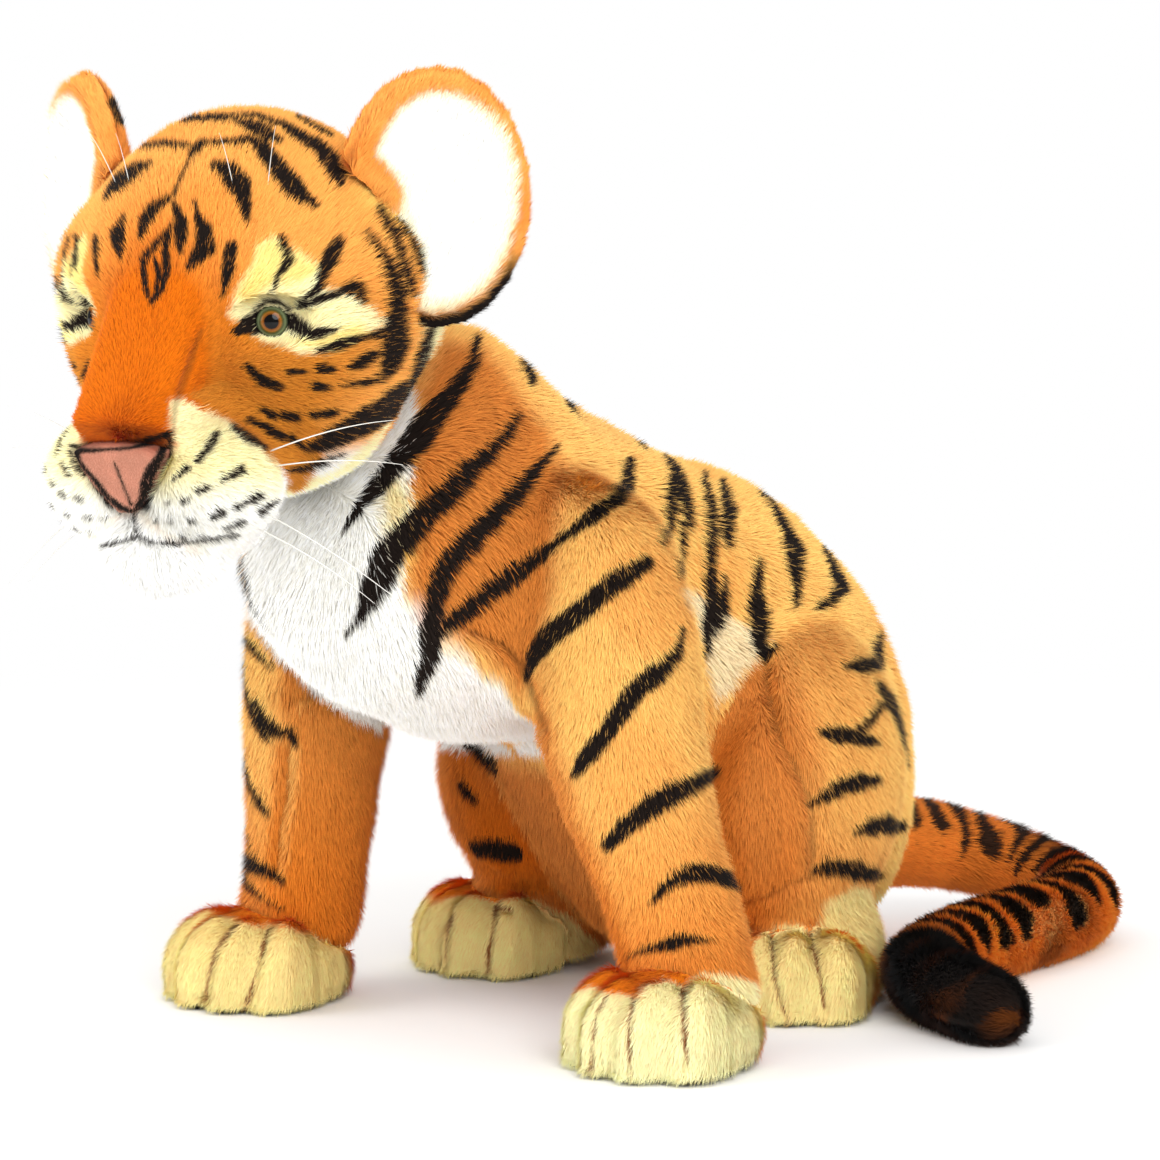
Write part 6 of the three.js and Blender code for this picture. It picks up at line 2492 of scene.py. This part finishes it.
@dataclass
class Soles:
    """The dark short-haired soles under the four paws."""

    shop: Workshop
    hair: float = 2.5

    def build(self) -> None:
        """Dresses every sole."""
        for name in ("front_sole_left", "front_sole_right", "hind_sole_left", "hind_sole_right"):
            hide = Hide(f"{name}_skin", [name], voxel=1.5, draw_in=1.0, swell=0.0)
            hide.sew()
            count = len(hide.obj.data.vertices)
            nap = np.tile((0, -1.0, 0), (count, 1))
            hide.dress(Dye(Tint.INK, count).tint, nap, np.full(count, self.hair * MM), np.ones(count))
            hide.finish(self.shop.backing, Coat(Printer(self.shop.view, skin_tree(hide.obj.data), Flip())))
            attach(hide.obj, "torso")
            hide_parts(name)
            log.info("%s dressed", name)


@dataclass
class Studio:
    """A pale floor that fades into white, two broad lamps and soft light from all round."""

    floor_size: float = 9.0
    sky: float = 0.92
    aim: Point = (0.0, -0.12, 0.2)
    lamps: dict[str, tuple[Point, float, float]] = field(default_factory=lambda: {
        "key_lamp": ((2.2, -1.7, 1.6), 1.9, 58.0), "fill_lamp": ((-1.3, -2.1, 1.0), 1.8, 29.0)})

    def build(self) -> None:
        """Makes the floor, the world and the lamps."""
        mesh = bpy.data.meshes.new("studio_floor")
        half = self.floor_size / 2
        corners = [(-half, -half, 0), (half, -half, 0), (half, half, 0), (-half, half, 0)]
        mesh.from_pydata(corners, [], [(0, 1, 2, 3)])
        floor = add_object("studio_floor", mesh)
        floor.data.materials.append(self.floor_finish())
        self.world()
        for name, (place, size, power) in self.lamps.items():
            self.lamp(name, place, size, power)

    def floor_finish(self) -> bpy.types.Material:
        """Pale paper: it takes the shadow near the cub and runs out to pure white.

        Returns:
            The material.
        """
        material = bpy.data.materials.new("floor_paper")
        material.use_nodes = True
        maker = Maker(material.node_tree)
        material.node_tree.nodes.clear()
        place = maker.get("ShaderNodeTexCoord", None, None, "Object")
        grain = maker.noise(place, 60.0, 3.0)
        paper = maker.mix(grain * 0.2, (0.97, 0.965, 0.955, 1), (0.93, 0.925, 0.915, 1))
        diffuse = maker.get("ShaderNodeBsdfDiffuse", None, {"Color": paper})
        white = maker.get("ShaderNodeEmission", None, {"Color": (1, 1, 1, 1), "Strength": 1.0})
        away = maker.vector("LENGTH", place, output="Value")
        path = maker.node("ShaderNodeLightPath")
        seen = Wire(maker, path.outputs["Is Camera Ray"])
        share = seen * away.between(0.45, 1.3)
        surface = maker.get("ShaderNodeMixShader", None, {0: share, 1: diffuse, 2: white})
        maker.node("ShaderNodeOutputMaterial", None, {"Surface": surface})
        return material

    def world(self) -> None:
        """Soft light from all round, seen as white by the camera."""
        world = bpy.data.worlds.new("studio_sky")
        bpy.context.scene.world = world
        world.use_nodes = True
        maker = Maker(world.node_tree)
        world.node_tree.nodes.clear()
        path = maker.node("ShaderNodeLightPath")
        shown = Wire(maker, path.outputs["Is Camera Ray"])
        glossy = Wire(maker, path.outputs["Is Glossy Ray"])
        strength = self.sky + shown * (1 - self.sky) - glossy * 0.6
        light = maker.get("ShaderNodeBackground", None, {"Color": (1, 1, 1, 1), "Strength": strength})
        maker.node("ShaderNodeOutputWorld", None, {"Surface": light})

    def lamp(self, name: str, place: Point, size: float, power: float) -> None:
        """Hangs one soft lamp that looks at the cub.

        Args:
            name: The lamp's name.
            place: Where it hangs.
            size: How wide it is.
            power: How strong it is, in watts.
        """
        data = bpy.data.lights.new(name, "AREA")
        data.shape = "DISK"
        data.size = size
        data.energy = power
        lamp = bpy.data.objects.new(name, data)
        bpy.context.scene.collection.objects.link(lamp)
        lamp.location = place
        lamp.rotation_euler = (Vector(self.aim) - Vector(place)).to_track_quat("-Z", "Y").to_euler()


def main() -> None:
    """Builds the cub piece by piece."""
    logging.basicConfig(level=logging.INFO, format="%(message)s")
    view = PhotoView()
    view.make()
    bpy.context.scene.view_settings.view_transform = "Standard"
    # The paws' finish is a brighter copy of the pile's, with less painted root shade: painted light for the
    # dimmer light near the floor.
    shop = Workshop(view, Plush("plush_backing", backing=True).build(), Pile(Plush("plush_pile").build()),
                    Plush("paw_pile_brightened", root=0.95, tip=1.16, uneven=0.14, bounce_warmth=0.10).build())
    body = BodyHide(shop)
    body_skin = body.build()
    head = HeadHide(shop)
    head_skin = head.build()
    body_tree, head_tree = skin_tree(body_skin.obj.data), skin_tree(head_skin.obj.data)
    coat, zone = body.colour(body_skin, head_tree)
    body.grow(body_skin, coat, zone)
    coat, zone = head.colour(head_skin, body_tree)
    head.grow(head_skin, coat, zone)
    for front in (True, False):
        for left in (True, False):
            PawHide(shop, front, left, 52000 if front else 39000).build(body_tree)
    Soles(shop).build()
    Nose(shop).build()
    for left in (True, False):
        Ear(shop, left).build(head_tree)
    Tail(shop).build(body_tree)
    Eyes().build()
    Whiskers().build()
    Studio().build()


if __name__ == "__main__":
    main()
